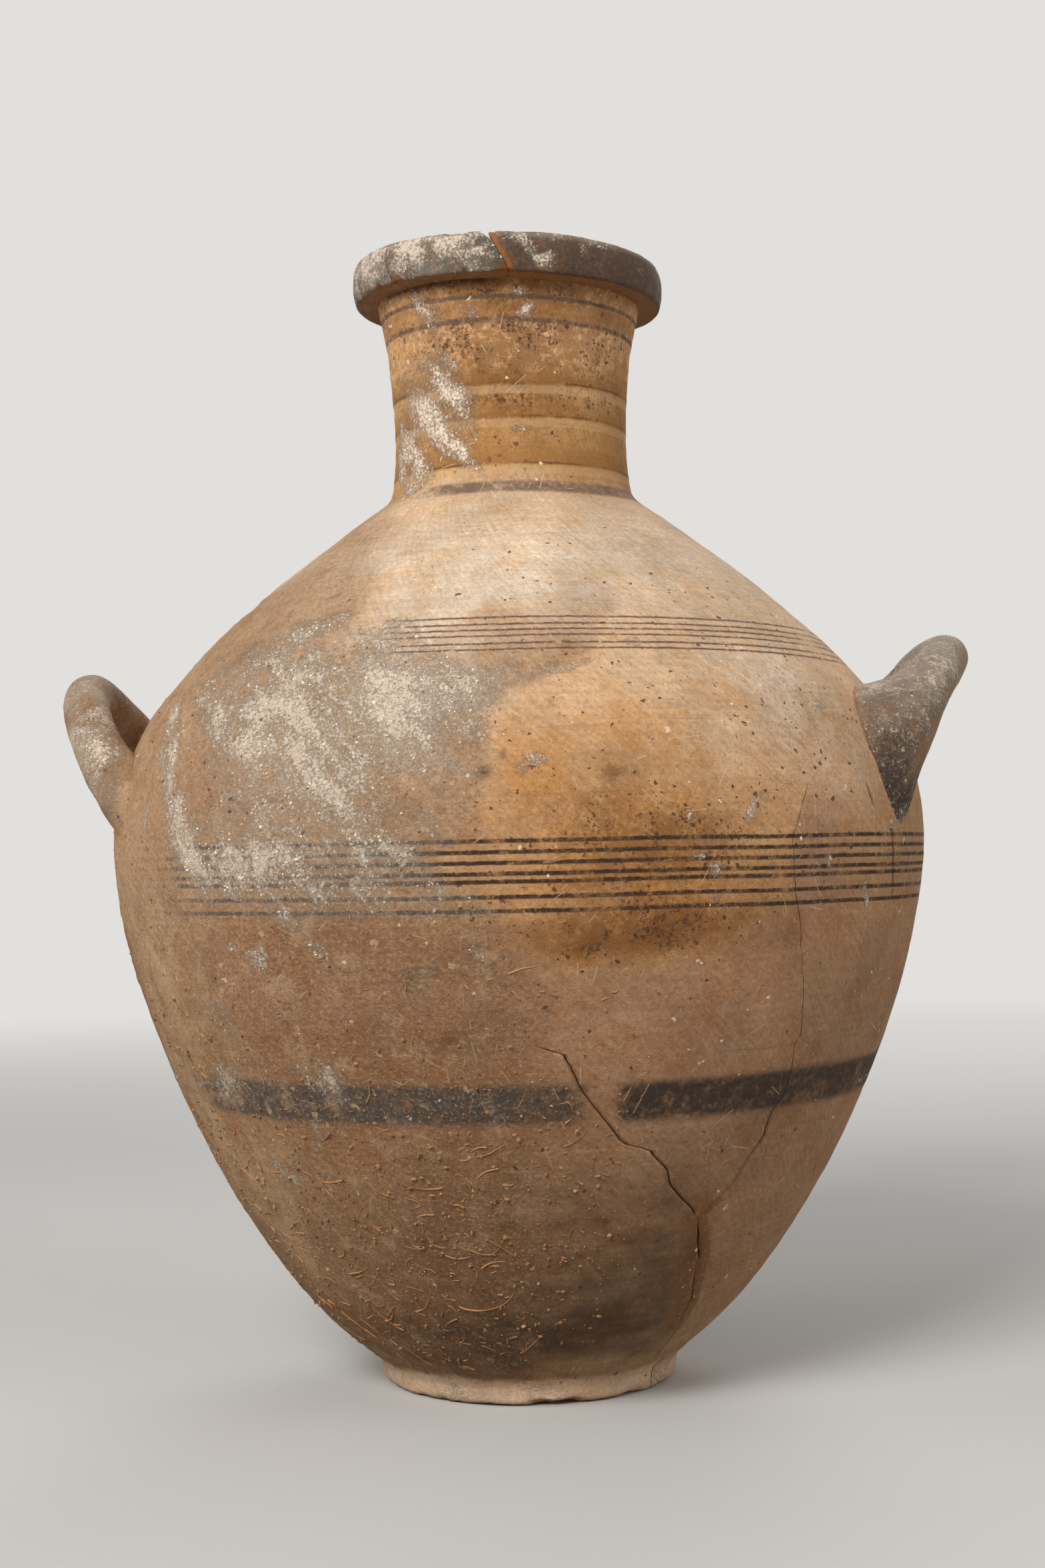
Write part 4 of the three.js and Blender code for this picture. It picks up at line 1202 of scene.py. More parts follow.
def swept(path, sides, wide, deep, outward):
    """Rings of a bar along a path: half width and half depth at each point, depth along outward."""
    centres = path[:, :3]
    forward = unit(np.gradient(centres, axis=0))
    aside = unit(np.cross(forward, outward))
    depth = np.cross(aside, forward)
    turn = np.radians(np.arange(sides) * 360 / sides)
    across = aside[:, None] * (wide[:, None] * np.cos(turn))[..., None]
    into = depth[:, None] * (deep[:, None] * np.sin(turn))[..., None]
    return centres[:, None] + across + into


def seated(grid, centres, flare, web, deepest=-5.0):
    """A bar's rings, spread near the wall, most on their upper side, and no deeper in it than a limit.

    Also how far off the wall they were.
    """
    height = np.clip(grid[..., 2], FOOT_TOP, RIM_FOOT)
    radius = np.hypot(grid[..., 0], grid[..., 1])
    lean_out, lean_up = lean_at(height)
    normal = around(angle_of(grid), lean_out, lean_up)
    off = (radius - radius_at(height)) * lean_out
    away = grid - centres[:, None]
    away = away - normal * np.sum(away * normal, axis=-1, keepdims=True)
    away /= np.linalg.norm(away, axis=-1, keepdims=True) + 0.001
    rising = np.maximum(away[..., 2], 0)
    reach = 14.0
    share = np.clip(1 - np.abs(off) / (reach + reach * rising * (web > 0)), 0, 1)
    moved = grid + away * ((flare + web * rising) * share**2)[..., None]
    sink = np.maximum(deepest - off, 0)
    return moved + normal * sink[..., None], off


def swollen(grid, centres, lift):
    """A bar's rings moved away from its middle line."""
    return grid + unit(grid - centres[:, None]) * lift[..., None]


def loop_rings(points, flare, web, seed):
    """Rings of a loop handle, whose limbs flare and rise in a web out of the wall and end in flat tails.

    Also how far off the wall the rings are, the middle line, and half the thickness along it.
    """
    tail_end = 4.0
    path = smooth_path(points, HANDLE_RINGS)
    centres = path[:, :3]
    swell = path[:, 3]
    lumps = 1 + 0.05 * noise(centres, 26, seed)
    thick = np.clip((swell - tail_end) / 8, 0, 1)[:, None]
    tail = 1 - np.clip((swell - tail_end) / 6, 0, 1)
    wide = swell * lumps * (1 + 0.9 * tail)
    deep = swell * (2 - lumps) * (0.98 - 0.24 * tail)
    grid = swept(path, HANDLE_SIDES, wide, deep, around(angle_of(centres), 1.0, 0.6))
    grid, off = seated(grid, centres, flare * thick, web * thick)
    return grid, off, centres, swell


def handle_relief(grid, centres, swell, lift):
    """Rings moved out by a lift that fades in their thin tails."""
    return swollen(grid, centres, lift * np.clip(swell / 8, 0, 1)[:, None])


def handle_lift(grid, seed):
    """Dents and grit of a handle pressed by hand."""
    return 0.45 * noise(grid, 22, seed + 1) + 0.16 * layered(grid, 6, seed + 2)


def tan_handle_marks(grid, off, seed):
    """The left handle: tan clay, a white streak down its front limb, roots that blend with the wall."""
    z = grid[..., 2]
    root = np.exp(-(((z - 266) / 13) ** 2)) * np.clip(0.7 + 0.6 * layered(grid, 8, seed + 4), 0, 1)
    inner = smooth(grid[..., 0], -186, -176) * smooth(z, 288, 300)
    covers = [
        (tone(172, 136, 104), 0.5 + 0.8 * layered(grid, 16, seed + 3)),
        (tone(164, 112, 70), np.clip(1.5 * layered(grid, 6, seed + 7) - 0.25, 0, 0.7)),
        (tone(112, 90, 68), 0.6 * root),
        (tone(150, 104, 64), 0.7 * inner),
    ]
    front = smooth(-grid[..., 1], 8, 30) * (1 - inner)
    streak = np.exp(-(((z - 298) / 19) ** 2)) * front * smooth(grid[..., 0] + 0.8 * (302 - z), -208, -196)
    lime = 0.12 + (0.7 * streak + 0.25 * smooth(z, 306, 326)) * (0.8 + 0.6 * layered(grid, 9, seed + 5))
    marks = plain_marks(
        z.shape,
        ground=covered(HANDLE_CLAY, covers),
        lime=np.clip(lime, 0, 1),
        soil=np.clip(0.3 * root, 0, 1),
        film=np.full(z.shape, 0.5),
    )
    blended(marks, wall_marks(angle_of(grid), z), 1 - smooth(off + 2 * layered(grid, 7, seed + 8), 0, 8))
    return marks, handle_lift(grid, seed) + 0.4 * root * noise(grid, 4, seed + 6)


def dark_handle_marks(grid, off, seed):
    """The right handle: dark slip below, worn and dusty above, with bare clay along its outer edge."""
    z = grid[..., 2]
    level = z + 7 * layered(grid, 12, seed + 3)
    slip = [
        (246, tone(44, 33, 26)),
        (272, tone(58, 43, 34)),
        (288, tone(90, 71, 57)),
        (303, tone(134, 113, 96)),
        (316, tone(160, 142, 126)),
        (332, tone(172, 157, 144)),
    ]
    rust = np.clip(1.5 * layered(grid, 6, seed + 4) - 0.3, 0, 0.8) * smooth(level, 276, 298)
    under = smooth(grid[..., 0] - 0.62 * (z - 300), 187, 193) * smooth(z, 262, 290)
    covers = [(tone(150, 106, 72), rust), (tone(196, 158, 120), under)]
    dusty = np.exp(-(((z - 320) / 8) ** 2)) * np.clip(0.4 + 1.2 * layered(grid, 9, seed + 5), 0, 1)
    tip = np.exp(-(((z - 256) / 8) ** 2)) * np.clip(0.3 + layered(grid, 5, seed + 7), 0, 1)
    marks = plain_marks(
        z.shape,
        ground=covered(graded(level, *zip(*slip)), covers),
        lime=np.clip(0.14 + 0.2 * smooth(level, 284, 316) + 0.55 * dusty + 0.4 * tip, 0, 1),
        film=0.25 + 0.5 * smooth(level, 262, 300),
    )
    rubbed = 0.4 * (1 - smooth(off + 2 * layered(grid, 5, seed + 8), 0, 5)) * smooth(z, 282, 304)
    blended(marks, wall_marks(angle_of(grid), z), rubbed)
    return marks, handle_lift(grid, seed)


def left_handle(material):
    """The left loop, which rises straight out of the wall."""
    seed = 101
    grid, off, centres, swell = loop_rings(LEFT_LIMB, 5.0, 0.0, seed)
    marks, lift = tan_handle_marks(grid, off, seed)
    grid = handle_relief(grid, centres, swell, lift)
    bar_piece("left_loop", "side_handle_left", grid, marks, [material])


def right_handle(material):
    """The right loop, which rises out of the wall in a web."""
    seed = 115
    grid, off, centres, swell = loop_rings(RIGHT_LIMB, 7.0, 8.0, seed)
    marks, lift = dark_handle_marks(grid, off, seed)
    grid = handle_relief(grid, centres, swell, lift)
    bar_piece("right_loop", "side_handle_right", grid, marks, [material])


def strap_marks(grid, seed):
    """The back handle: dark slip, worn along its edges."""
    z = grid[..., 2]
    worn = smooth(np.abs(grid[..., 0]), 12, 19) * np.clip(0.4 + 0.8 * layered(grid, 9, seed + 4), 0, 1)
    dust = smooth(z, 440, 486) * np.clip(0.4 + 0.6 * layered(grid, 12, seed + 5), 0, 1)
    under = smooth(112 - grid[..., 1], 0, 24) * smooth(456 - z, 0, 24)
    covers = [
        (tone(72, 58, 49), 0.5 + 0.6 * layered(grid, 18, seed + 3)),
        (tone(150, 116, 88), worn),
        (tone(160, 144, 126), 0.7 * dust),
        (tone(186, 148, 110), 0.5 * under),
    ]
    return plain_marks(
        z.shape,
        ground=covered(tone(98, 80, 68), covers),
        lime=np.clip(0.3 * dust + 0.08, 0, 1),
        film=np.full(z.shape, 0.3),
    )


def back_handle(materials):
    """The strap handle at the back, from under the rim down to the shoulder."""
    seed = 131
    path = smooth_path(STRAP, STRAP_RINGS)
    centres = path[:, :3]
    outward = np.cross((1.0, 0.0, 0.0), np.gradient(centres, axis=0))
    grid = swept(path, HANDLE_SIDES, 17.5 * path[:, 3], 7.6 * path[:, 3] ** 0.5, outward)
    groove = 1.1 * np.exp(-((grid[..., 0] / 6) ** 2))
    grid, _ = seated(grid, centres, 5.0, 0.0)
    grid = swollen(grid, centres, handle_lift(grid, seed) - groove)
    bar_piece("strap_handle", "back_handle", grid, strap_marks(grid, seed), materials)


def rootlets(material):
    """Thin dried rootlets that cling to the soil on the lower left."""
    chance = np.random.default_rng(7)
    count, steps, sides = 250, 12, 5
    low = chance.random(count) < 0.6
    angle = np.where(low, chance.uniform(-60, 4, count), chance.uniform(-56, 20, count))
    height = np.where(low, chance.triangular(14, 34, 150, count), chance.uniform(70, 205, count))
    heading = np.radians(chance.choice([0, 180], count) + chance.normal(-8, 34, count))
    length = chance.gamma(1.9, 3.6, count).clip(2.5, 30) * np.where(low, 1, 0.6)
    turning = chance.normal(0, 0.09, count)
    track = []
    for _ in range(steps):
        angle = angle + np.degrees(np.cos(heading) * length / steps / radius_at(height))
        height = np.maximum(11.5, height + np.sin(heading) * length / steps)
        heading = heading + turning + chance.normal(0, 0.05, count)
        track.append((angle, height))
    angles, heights = np.moveaxis(np.array(track), 1, 0)
    lifted = np.abs(chance.normal(0, 0.5, count)) * np.linspace(1, 0, steps)[:, None] ** 2
    spines = on_wall(angles, heights, wall_top(angles, heights) + 0.08 + 0.4 * lifted)
    outward = around(angles, 1.0, 0.0)
    thick = chance.uniform(0.2, 0.42, count)
    corners = []
    for k in range(count):
        size = thick[k] * (1 - 0.6 * np.linspace(0, 1, steps) ** 2)
        corners.append(swept(spines[:, k], sides, size, size, outward[:, k]).reshape(-1, 3))
    ends = [list(range(sides)), list(range(steps * sides - 1, (steps - 1) * sides - 1, -1))]
    faces = repeated(ring_faces(steps, sides) + ends, count, steps * sides)
    extra_piece("rootlets", np.vstack(corners), faces, material)


def lump():
    """Corners and faces of a small round clod: eight sides, each cut into four."""
    corners = np.array([(1, 0, 0), (-1, 0, 0), (0, 1, 0), (0, -1, 0), (0, 0, 1), (0, 0, -1)], float)
    faces = [(0, 2, 4), (2, 1, 4), (1, 3, 4), (3, 0, 4), (2, 0, 5), (1, 2, 5), (3, 1, 5), (0, 3, 5)]
    points = corners.tolist()
    middles = {}
    finer = []
    for a, b, c in faces:
        halves = []
        for first, second in ((a, b), (b, c), (c, a)):
            key = (min(first, second), max(first, second))
            if key not in middles:
                middles[key] = len(points)
                points.append(unit(corners[first] + corners[second]).tolist())
            halves.append(middles[key])
        ab, bc, ca = halves
        finer += [(a, ab, ca), (ab, b, bc), (ca, bc, c), (ab, bc, ca)]
    return np.array(points), finer


def crumb_piece(name, angle, height, size, material, chance):
    """Small clods that stick to the wall."""
    shape, faces = lump()
    centres = on_wall(angle, height, wall_top(angle, height) + 0.1 * size)
    corners = []
    for k in range(len(angle)):
        clod = shape * (size[k] * (1 + 0.45 * noise(shape * 2 + 9 * k, 1.3, 91)))[:, None]
        corners.append(clod * chance.uniform(0.6, 1.25, 3) + centres[k])
    extra_piece(name, np.vstack(corners), repeated(faces, len(angle), len(shape)), material)


def soil_crumbs(material):
    """Crumbs of soil on the wall, mostly on the lower left."""
    chance = np.random.default_rng(11)
    count = 2300
    low = chance.random(count) < 0.75
    angle = np.where(low, chance.uniform(-70, 22, count), chance.uniform(-72, 2, count))
    height = np.where(low, chance.triangular(12, 90, 200, count), chance.uniform(170, 330, count))
    size = chance.gamma(2.6, 0.17, count).clip(0.16, 1.1) * np.where(low, 0.9, 0.7)
    crumb_piece("soil_crumbs", angle, height, size, material, chance)


def lime_crumbs(material):
    """Grains of lime, where the lime on the wall is thick."""
    chance = np.random.default_rng(12)
    count, most = 14000, 2600
    angle = chance.uniform(-64, 8, count)
    height = chance.uniform(196, 348, count)
    thick = wall_marks(angle, height)["lime"] > 0.12 + chance.random(count)
    chosen = np.flatnonzero(thick)[:most]
    size = chance.gamma(3, 0.1, len(chosen)).clip(0.16, 0.7)
    crumb_piece("lime_crumbs", angle[chosen], height[chosen], size, material, chance)


class Nodes:
    """Adds nodes to a node tree."""

    def __init__(self, tree):
        self.tree = tree

    def feed(self, socket, value):
        """Links a value to a socket, or sets it there if it is plain."""
        if isinstance(value, bpy.types.NodeSocket):
            self.tree.links.new(value, socket)
        elif isinstance(value, np.ndarray):
            socket.default_value = (*value.tolist(), 1)
        else:
            socket.default_value = value

    def fill(self, node, inputs):
        """Feeds inputs of a node, by name or number."""
        for key, value in inputs.items():
            self.feed(node.inputs[key], value)

    def add(self, kind, inputs, **settings):
        """A new node with its settings and inputs."""
        node = self.tree.nodes.new(kind)
        for key, value in settings.items():
            setattr(node, key, value)
        self.fill(node, inputs)
        return node

    def calc(self, operation, *values):
        """A calculation with one, two or three numbers."""
        return self.add("ShaderNodeMath", dict(enumerate(values)), operation=operation).outputs[0]

    def seen(self):
        """1 where the camera sees something itself, mirrored or through glass."""
        rays = self.add("ShaderNodeLightPath", {}).outputs
        straight = self.calc("MAXIMUM", rays["Is Camera Ray"], rays["Is Glossy Ray"])
        return self.calc("MAXIMUM", straight, rays["Is Transmission Ray"])

    def joined(self, share, first, second):
        """One surface or light over another."""
        return self.add("ShaderNodeMixShader", {0: share, 1: first, 2: second}).outputs[0]


class Shader(Nodes):
    """Builds the nodes of one material."""

    def __init__(self, name):
        self.material = bpy.data.materials.new(name)
        self.material.use_nodes = True
        super().__init__(self.material.node_tree)
        self.surface = self.tree.nodes["Principled BSDF"]
        self.place = self.add("ShaderNodeTexCoord", {}).outputs["Object"]
        self.sideways = None

    def vector(self, operation, *values):
        """A calculation with places or directions."""
        node = self.add("ShaderNodeVectorMath", dict(enumerate(values)), operation=operation)
        return node.outputs["Value" if operation in ("DOT_PRODUCT", "LENGTH") else "Vector"]

    def product(self, *values):
        """Numbers multiplied together."""
        total = values[0]
        for value in values[1:]:
            total = self.calc("MULTIPLY", total, value)
        return total

    def scaled(self, value, factor, added):
        """A number times a factor, with another one added."""
        return self.calc("MULTIPLY_ADD", value, factor, added)

    def step(self, value, low, high):
        """A soft step from 0 at low to 1 at high."""
        inputs = {"Value": value, "From Min": low, "From Max": high}
        return self.add("ShaderNodeMapRange", inputs, interpolation_type="SMOOTHSTEP").outputs["Result"]

    def mixed(self, share, first, second, blend="MIX"):
        """One colour over another."""
        inputs = {0: share, 6: first, 7: second}
        return self.add("ShaderNodeMix", inputs, data_type="RGBA", blend_type=blend).outputs[2]

    def over(self, colour, cover, *shares):
        """A colour with a cover over it, as far as the product of the shares."""
        return self.mixed(self.product(*shares), colour, cover)

    def tinted(self, colour, tint, *shares):
        """A colour multiplied by a tint, as far as the product of the shares."""
        return self.mixed(self.product(*shares), colour, tint, "MULTIPLY")

    def noise(self, scale, detail, roughness, place=None, shift=0.0):
        """Noise at a scale per metre, from another part of it if it is shifted."""
        place = place or self.place
        if shift:
            place = self.vector("ADD", place, (shift,) * 3)
        inputs = {"Vector": place, "Scale": scale, "Detail": detail, "Roughness": roughness}
        return self.add("ShaderNodeTexNoise", inputs).outputs

    def grain(self, scale, detail=4.0, roughness=0.55, place=None, shift=0.0):
        """Noise as numbers from about 0.2 to 0.8."""
        return self.noise(scale, detail, roughness, place, shift)[0]

    def patches(self, low, high, *noise, shift=0.0):
        """Soft patches where noise passes from low to high."""
        return self.step(self.grain(*noise, shift=shift), low, high)

    def cells(self, scale, place):
        """Random cells at a scale per metre: the node's outputs and three random numbers of each cell."""
        outputs = self.add("ShaderNodeTexVoronoi", {"Vector": place, "Scale": scale}).outputs
        return outputs, self.add("ShaderNodeSeparateColor", {0: outputs["Color"]}).outputs

    def specks(self, scale, size, share):
        """Small uneven spots in a share of the cells of a scale per metre."""
        shake = self.noise(scale * 1.7, 2.0, 0.5)["Color"]
        cell, chance = self.cells(scale, self.vector("MULTIPLY_ADD", shake, (1 / scale,) * 3, self.place))
        edge = self.scaled(chance[1], size, 0.4 * size)
        chosen = self.calc("LESS_THAN", chance[0], share)
        return self.product(chosen, self.calc("LESS_THAN", cell["Distance"], edge))

    def turned(self, side, rise, cosine, sine):
        """Distances along and across a lean, from distances sideways and up."""
        way = self.calc("ADD", self.product(side, cosine), self.product(rise, sine))
        return way, self.calc("SUBTRACT", self.product(rise, cosine), self.product(side, sine))

    def strokes(self, scale, length, width, share, lean, spread_out, shift=0.0):
        """Straight marks on the wall, one in a share of the cells of a scale per metre. Sizes are in mm."""
        if self.sideways is None:
            self.sideways = self.vector("NORMALIZE", self.vector("CROSS_PRODUCT", (0, 0, 1), self.place))
        moved = self.vector("ADD", self.place, (shift,) * 3)
        cell, chance = self.cells(scale, moved)
        off = self.vector("SUBTRACT", moved, cell["Position"])
        side = self.vector("DOT_PRODUCT", off, self.sideways)
        rise = self.vector("DOT_PRODUCT", off, (0, 0, 1))
        half_spread = math.radians(spread_out)
        turn = self.scaled(chance[0], 2 * half_spread, math.radians(lean) - half_spread)
        way, aside = self.turned(side, rise, self.calc("COSINE", turn), self.calc("SINE", turn))
        reach = self.scaled(chance[1], 0.35 * length * MM, 0.15 * length * MM)
        within = self.calc("LESS_THAN", self.calc("ABSOLUTE", way), reach)
        thin = self.step(self.calc("ABSOLUTE", aside), 0.6 * width * MM, 0.3 * width * MM)
        return self.product(within, thin, self.calc("LESS_THAN", chance[2], share))

    def unrolled(self, lean, length, width):
        """Places on the unrolled wall, along and across a lean, in steps of a length and a width in mm."""
        x, y, z = self.add("ShaderNodeSeparateXYZ", {0: self.place}).outputs
        mean_radius = 0.17
        arc = self.product(self.calc("ARCTAN2", x, self.product(y, -1.0)), mean_radius)
        turn = math.radians(lean)
        way, aside = self.turned(arc, z, math.cos(turn), math.sin(turn))
        inputs = {0: self.product(way, 1 / (length * MM)), 1: self.product(aside, 1 / (width * MM))}
        return self.add("ShaderNodeCombineXYZ", inputs).outputs[0]

    def attribute(self, name, output="Fac"):
        """A mark stored on the mesh."""
        node = self.add("ShaderNodeAttribute", {}, attribute_name=name, attribute_type="GEOMETRY")
        return node.outputs[output]

    def finish(self, colour, roughness, height, depth):
        """Joins the colour, roughness and relief to the surface."""
        bump = self.add("ShaderNodeBump", {"Height": height, "Distance": depth, "Strength": 1.0})
        inputs = {
            "Base Color": colour,
            "Roughness": roughness,
            "Normal": bump.outputs[0],
            "Specular IOR Level": 0.3,
        }
        self.fill(self.surface, inputs)
        return self.material


def clay_ground(shader):
    """The stored ground colour with the clay's mottling, grain and specks."""
    colour = shader.attribute("ground", "Color")
    colour = shader.tinted(colour, WARM_TINT, shader.patches(0.46, 0.66, 40, 7, 0.74), 0.75)
    colour = shader.tinted(colour, RUSTY_TINT, shader.patches(0.52, 0.64, 105, 8, 0.82, shift=0.3), 0.6)
    colour = shader.tinted(colour, CHALKY_TINT, shader.patches(0.51, 0.64, 62, 8, 0.82, shift=0.9), 0.7)
    cloud = shader.scaled(shader.grain(26, 7, 0.66), 0.9, 0.55)
    fleck = shader.scaled(shader.grain(560, 5, 0.8), 1.3, 0.35)
    colour = shader.tinted(colour, shader.product(cloud, fleck), 1.0)
    colour = shader.tinted(colour, BROWN_TINT, shader.specks(430, 0.2, 0.1), 0.6)
    return shader.tinted(colour, LIGHT_TINT, shader.specks(370, 0.19, 0.1), 0.6)


def wiped(shader, colour):
    """The turning and wiping marks of a wall."""
    turned_place = shader.vector("MULTIPLY", shader.place, (16, 16, 560))
    streak = shader.scaled(shader.grain(1, 4, 0.65, turned_place), 0.4, 0.8)
    smear = shader.scaled(shader.grain(1, 5, 0.72, shader.unrolled(-42, 15, 2.0)), 0.8, 0.6)
    colour = shader.tinted(colour, shader.product(streak, smear), 1.0)
    colour = shader.over(colour, tone(128, 88, 56), shader.strokes(250, 3.2, 0.42, 0.4, -42, 40), 0.24)
    colour = shader.over(colour, PALE, shader.strokes(270, 3.4, 0.42, 0.4, -42, 40, 0.37), 0.24)
    return shader.over(colour, tone(120, 80, 50), shader.strokes(36, 42, 0.3, 0.4, 0, 2.5, 0.71), 0.3)


def stained(shader, colour):
    """Brown blotches and dark manganese specks."""
    speck = shader.attribute("speck")
    wide_blotch = shader.step(shader.scaled(speck, 0.2, shader.grain(120, 6, 0.76)), 0.58, 0.72)
    small_blotch = shader.step(shader.scaled(speck, 0.16, shader.grain(310, 6, 0.8)), 0.58, 0.7)
    blotch = shader.calc("MAXIMUM", wide_blotch, small_blotch)
    colour = shader.over(colour, tone(128, 82, 40), blotch, speck, 0.72)
    here = shader.patches(0.44, 0.54, 52, 5, 0.7)
    fine = shader.step(shader.scaled(speck, 0.18, shader.grain(560, 5, 0.8)), 0.66, 0.71)
    colour = shader.over(colour, tone(76, 50, 34), fine, here, 0.85)
    dense = shader.product(speck, here)
    large = shader.specks(250, 0.22, shader.scaled(dense, 0.5, 0.02))
    small = shader.specks(430, 0.26, shader.scaled(dense, 0.4, 0.01))
    return shader.over(colour, tone(74, 50, 38), shader.calc("MAXIMUM", large, small), 0.85)


def line_mask(shader, level, heights, width):
    """Painted lines at heights."""
    total = 0.0
    for height in heights:
        off = shader.calc("ABSOLUTE", shader.calc("SUBTRACT", level, height))
        total = shader.calc("MAXIMUM", total, shader.step(off, width / 2 + 0.35, width / 2 - 0.35))
    return total


def band_mask(shader, level, edges, soft):
    """A painted band between two heights."""
    low, high = edges
    above = shader.step(level, low - soft, low + soft)
    return shader.product(above, shader.step(level, high + soft, high - soft))


def brushed_level(shader):
    """The height on the jar in mm, wavering a little as a brush does."""
    slow = shader.scaled(shader.grain(9, 1), 1.4, -0.7)
    quick = shader.scaled(shader.grain(300, 3, 0.7), 1.0, -0.5)
    return shader.calc("ADD", shader.attribute("level"), shader.calc("ADD", slow, quick))


def worn_paint(shader, mask, strength=1.0, wear=1.0):
    """A painted shape where the paint is left, thinned and broken up by wear."""
    left = shader.product(shader.attribute("painted"), strength)
    fine = shader.scaled(shader.grain(300, 6, 0.82), 2.6 * wear, -1.15 * wear)
    coarse = shader.scaled(shader.grain(44, 5, 0.75, shift=1.7), 2.0 * wear, -0.9 * wear)
    kept = shader.step(shader.calc("SUBTRACT", shader.calc("SUBTRACT", left, fine), coarse), 0.0, 1.0)
    return shader.product(mask, kept)


def body_paint(shader, colour):
    """The painted lines and bands of the body, brown where the wall is bare and grey under the film."""
    level = brushed_level(shader)
    film = shader.attribute("film")
    line_tone = shader.mixed(film, tone(60, 42, 32), tone(98, 96, 94))
    band_tone = shader.mixed(film, tone(64, 51, 41), tone(88, 82, 75))
    layers = [
        (band_mask(shader, level, BROAD_BAND, 2.2), 1.0, 0.8, band_tone),
        (line_mask(shader, level, BELLY_LINES, 1.7), 1.05, 1.0, line_tone),
        (line_mask(shader, level, SHOULDER_LINES, 0.8), 1.2, 1.0, tone(104, 76, 64)),
        (band_mask(shader, level, SHOULDER_BAND, 1.1), 1.0, 1.0, BAND_PAINT),
    ]
    for mask, strength, wear, paint in layers:
        colour = shader.over(colour, paint, worn_paint(shader, mask, strength, wear))
    return colour


def neck_paint(shader, colour):
    """The painted lines of the neck and its ochre washes, which pooled along their lower edges."""
    level = brushed_level(shader)
    for edge, rise in NECK_WASHES:
        begun = shader.step(level, edge - 0.6, edge + 0.6)
        colour = shader.over(colour, tone(150, 100, 48), begun, shader.step(level, edge + rise, edge), 0.66)
        pooled = band_mask(shader, level, (edge - 0.1, edge + 0.9), 0.4)
        uneven = shader.patches(0.36, 0.62, 30, 4, 0.7, shift=edge)
        colour = shader.over(colour, tone(96, 62, 32), pooled, uneven, 0.75)
        pale = band_mask(shader, level, (edge - 4.6, edge - 0.8), 0.6)
        colour = shader.over(colour, tone(220, 180, 132), pale, 0.4)
    colour = shader.over(colour, tone(158, 108, 58), band_mask(shader, level, NECK_BETWEEN_LINES, 0.6), 0.55)
    layers = [
        (band_mask(shader, level, NECK_HIGH_LINE, 0.7), tone(108, 84, 68)),
        (band_mask(shader, level, NECK_LOW_LINE, 0.7), tone(104, 81, 68)),
        (band_mask(shader, level, NECK_BAND, 1.1), BAND_PAINT),
    ]
    for mask, paint in layers:
        colour = shader.over(colour, paint, worn_paint(shader, mask))
    return colour


def soiled(shader, colour):
    """Dark soil that soaked into the clay, and painted shade low on the front of the body."""
    clods = shader.scaled(shader.grain(80, 7, 0.75), 1.0, -0.5)
    soil = shader.attribute("soil")
    share = shader.calc("ADD", soil, shader.product(clods, shader.step(soil, 0.0, 0.5)))
    # The soil colour is in part painted shade
    return shader.over(colour, SOIL_AND_SHADE, shader.step(share, -0.05, 1.1), 0.95)


def gritty_film(shader, colour, wall):
    """Pale and dark grains of the thin film, and on a wall bits of chaff in it."""
    film = shader.attribute("film")
    grains = shader.grain(620, 6, 0.82, shift=2.3)
    clouds = shader.grain(58, 7, 0.8, shift=3.3)
    covers = [
        (tone(228, 188, 148), shader.step(grains, 0.53, 0.62), 0.55),
        (tone(140, 94, 58), shader.step(grains, 0.46, 0.37), 0.5),
        (tone(222, 184, 146), shader.step(clouds, 0.52, 0.66), 0.5),
        (tone(156, 104, 64), shader.step(clouds, 0.48, 0.36), 0.42),
    ]
    for cover, mask, share in covers:
        colour = shader.over(colour, cover, mask, film, share)
    lumps = shader.specks(230, 0.24, shader.product(film, 0.12))
    colour = shader.over(colour, tone(228, 190, 148), lumps, 0.7)
    if not wall:
        return colour
    chaff = shader.strokes(150, 3.6, 0.5, 0.12, -30, 70, 1.3)
    return shader.over(colour, tone(208, 162, 120), chaff, film, 0.4)


def scratched(shader, colour):
    """Pale scratches and white flecks, fewer of them on soil."""
    clean = shader.step(shader.attribute("soil"), 0.4, 0.05)
    here = shader.product(shader.patches(0.43, 0.57, 22, 2), clean)
    long_marks = shader.strokes(42, 20, 0.42, 0.4, 30, 80, 2.1)
    short_marks = shader.strokes(95, 9, 0.4, 0.35, 60, 70, 2.9)
    marks = shader.calc("MAXIMUM", long_marks, short_marks)
    colour = shader.over(colour, tone(228, 194, 156), marks, here, 0.6)
    return shader.over(colour, LIME, shader.specks(190, 0.17, shader.scaled(clean, 0.03, 0.004)), 0.8)


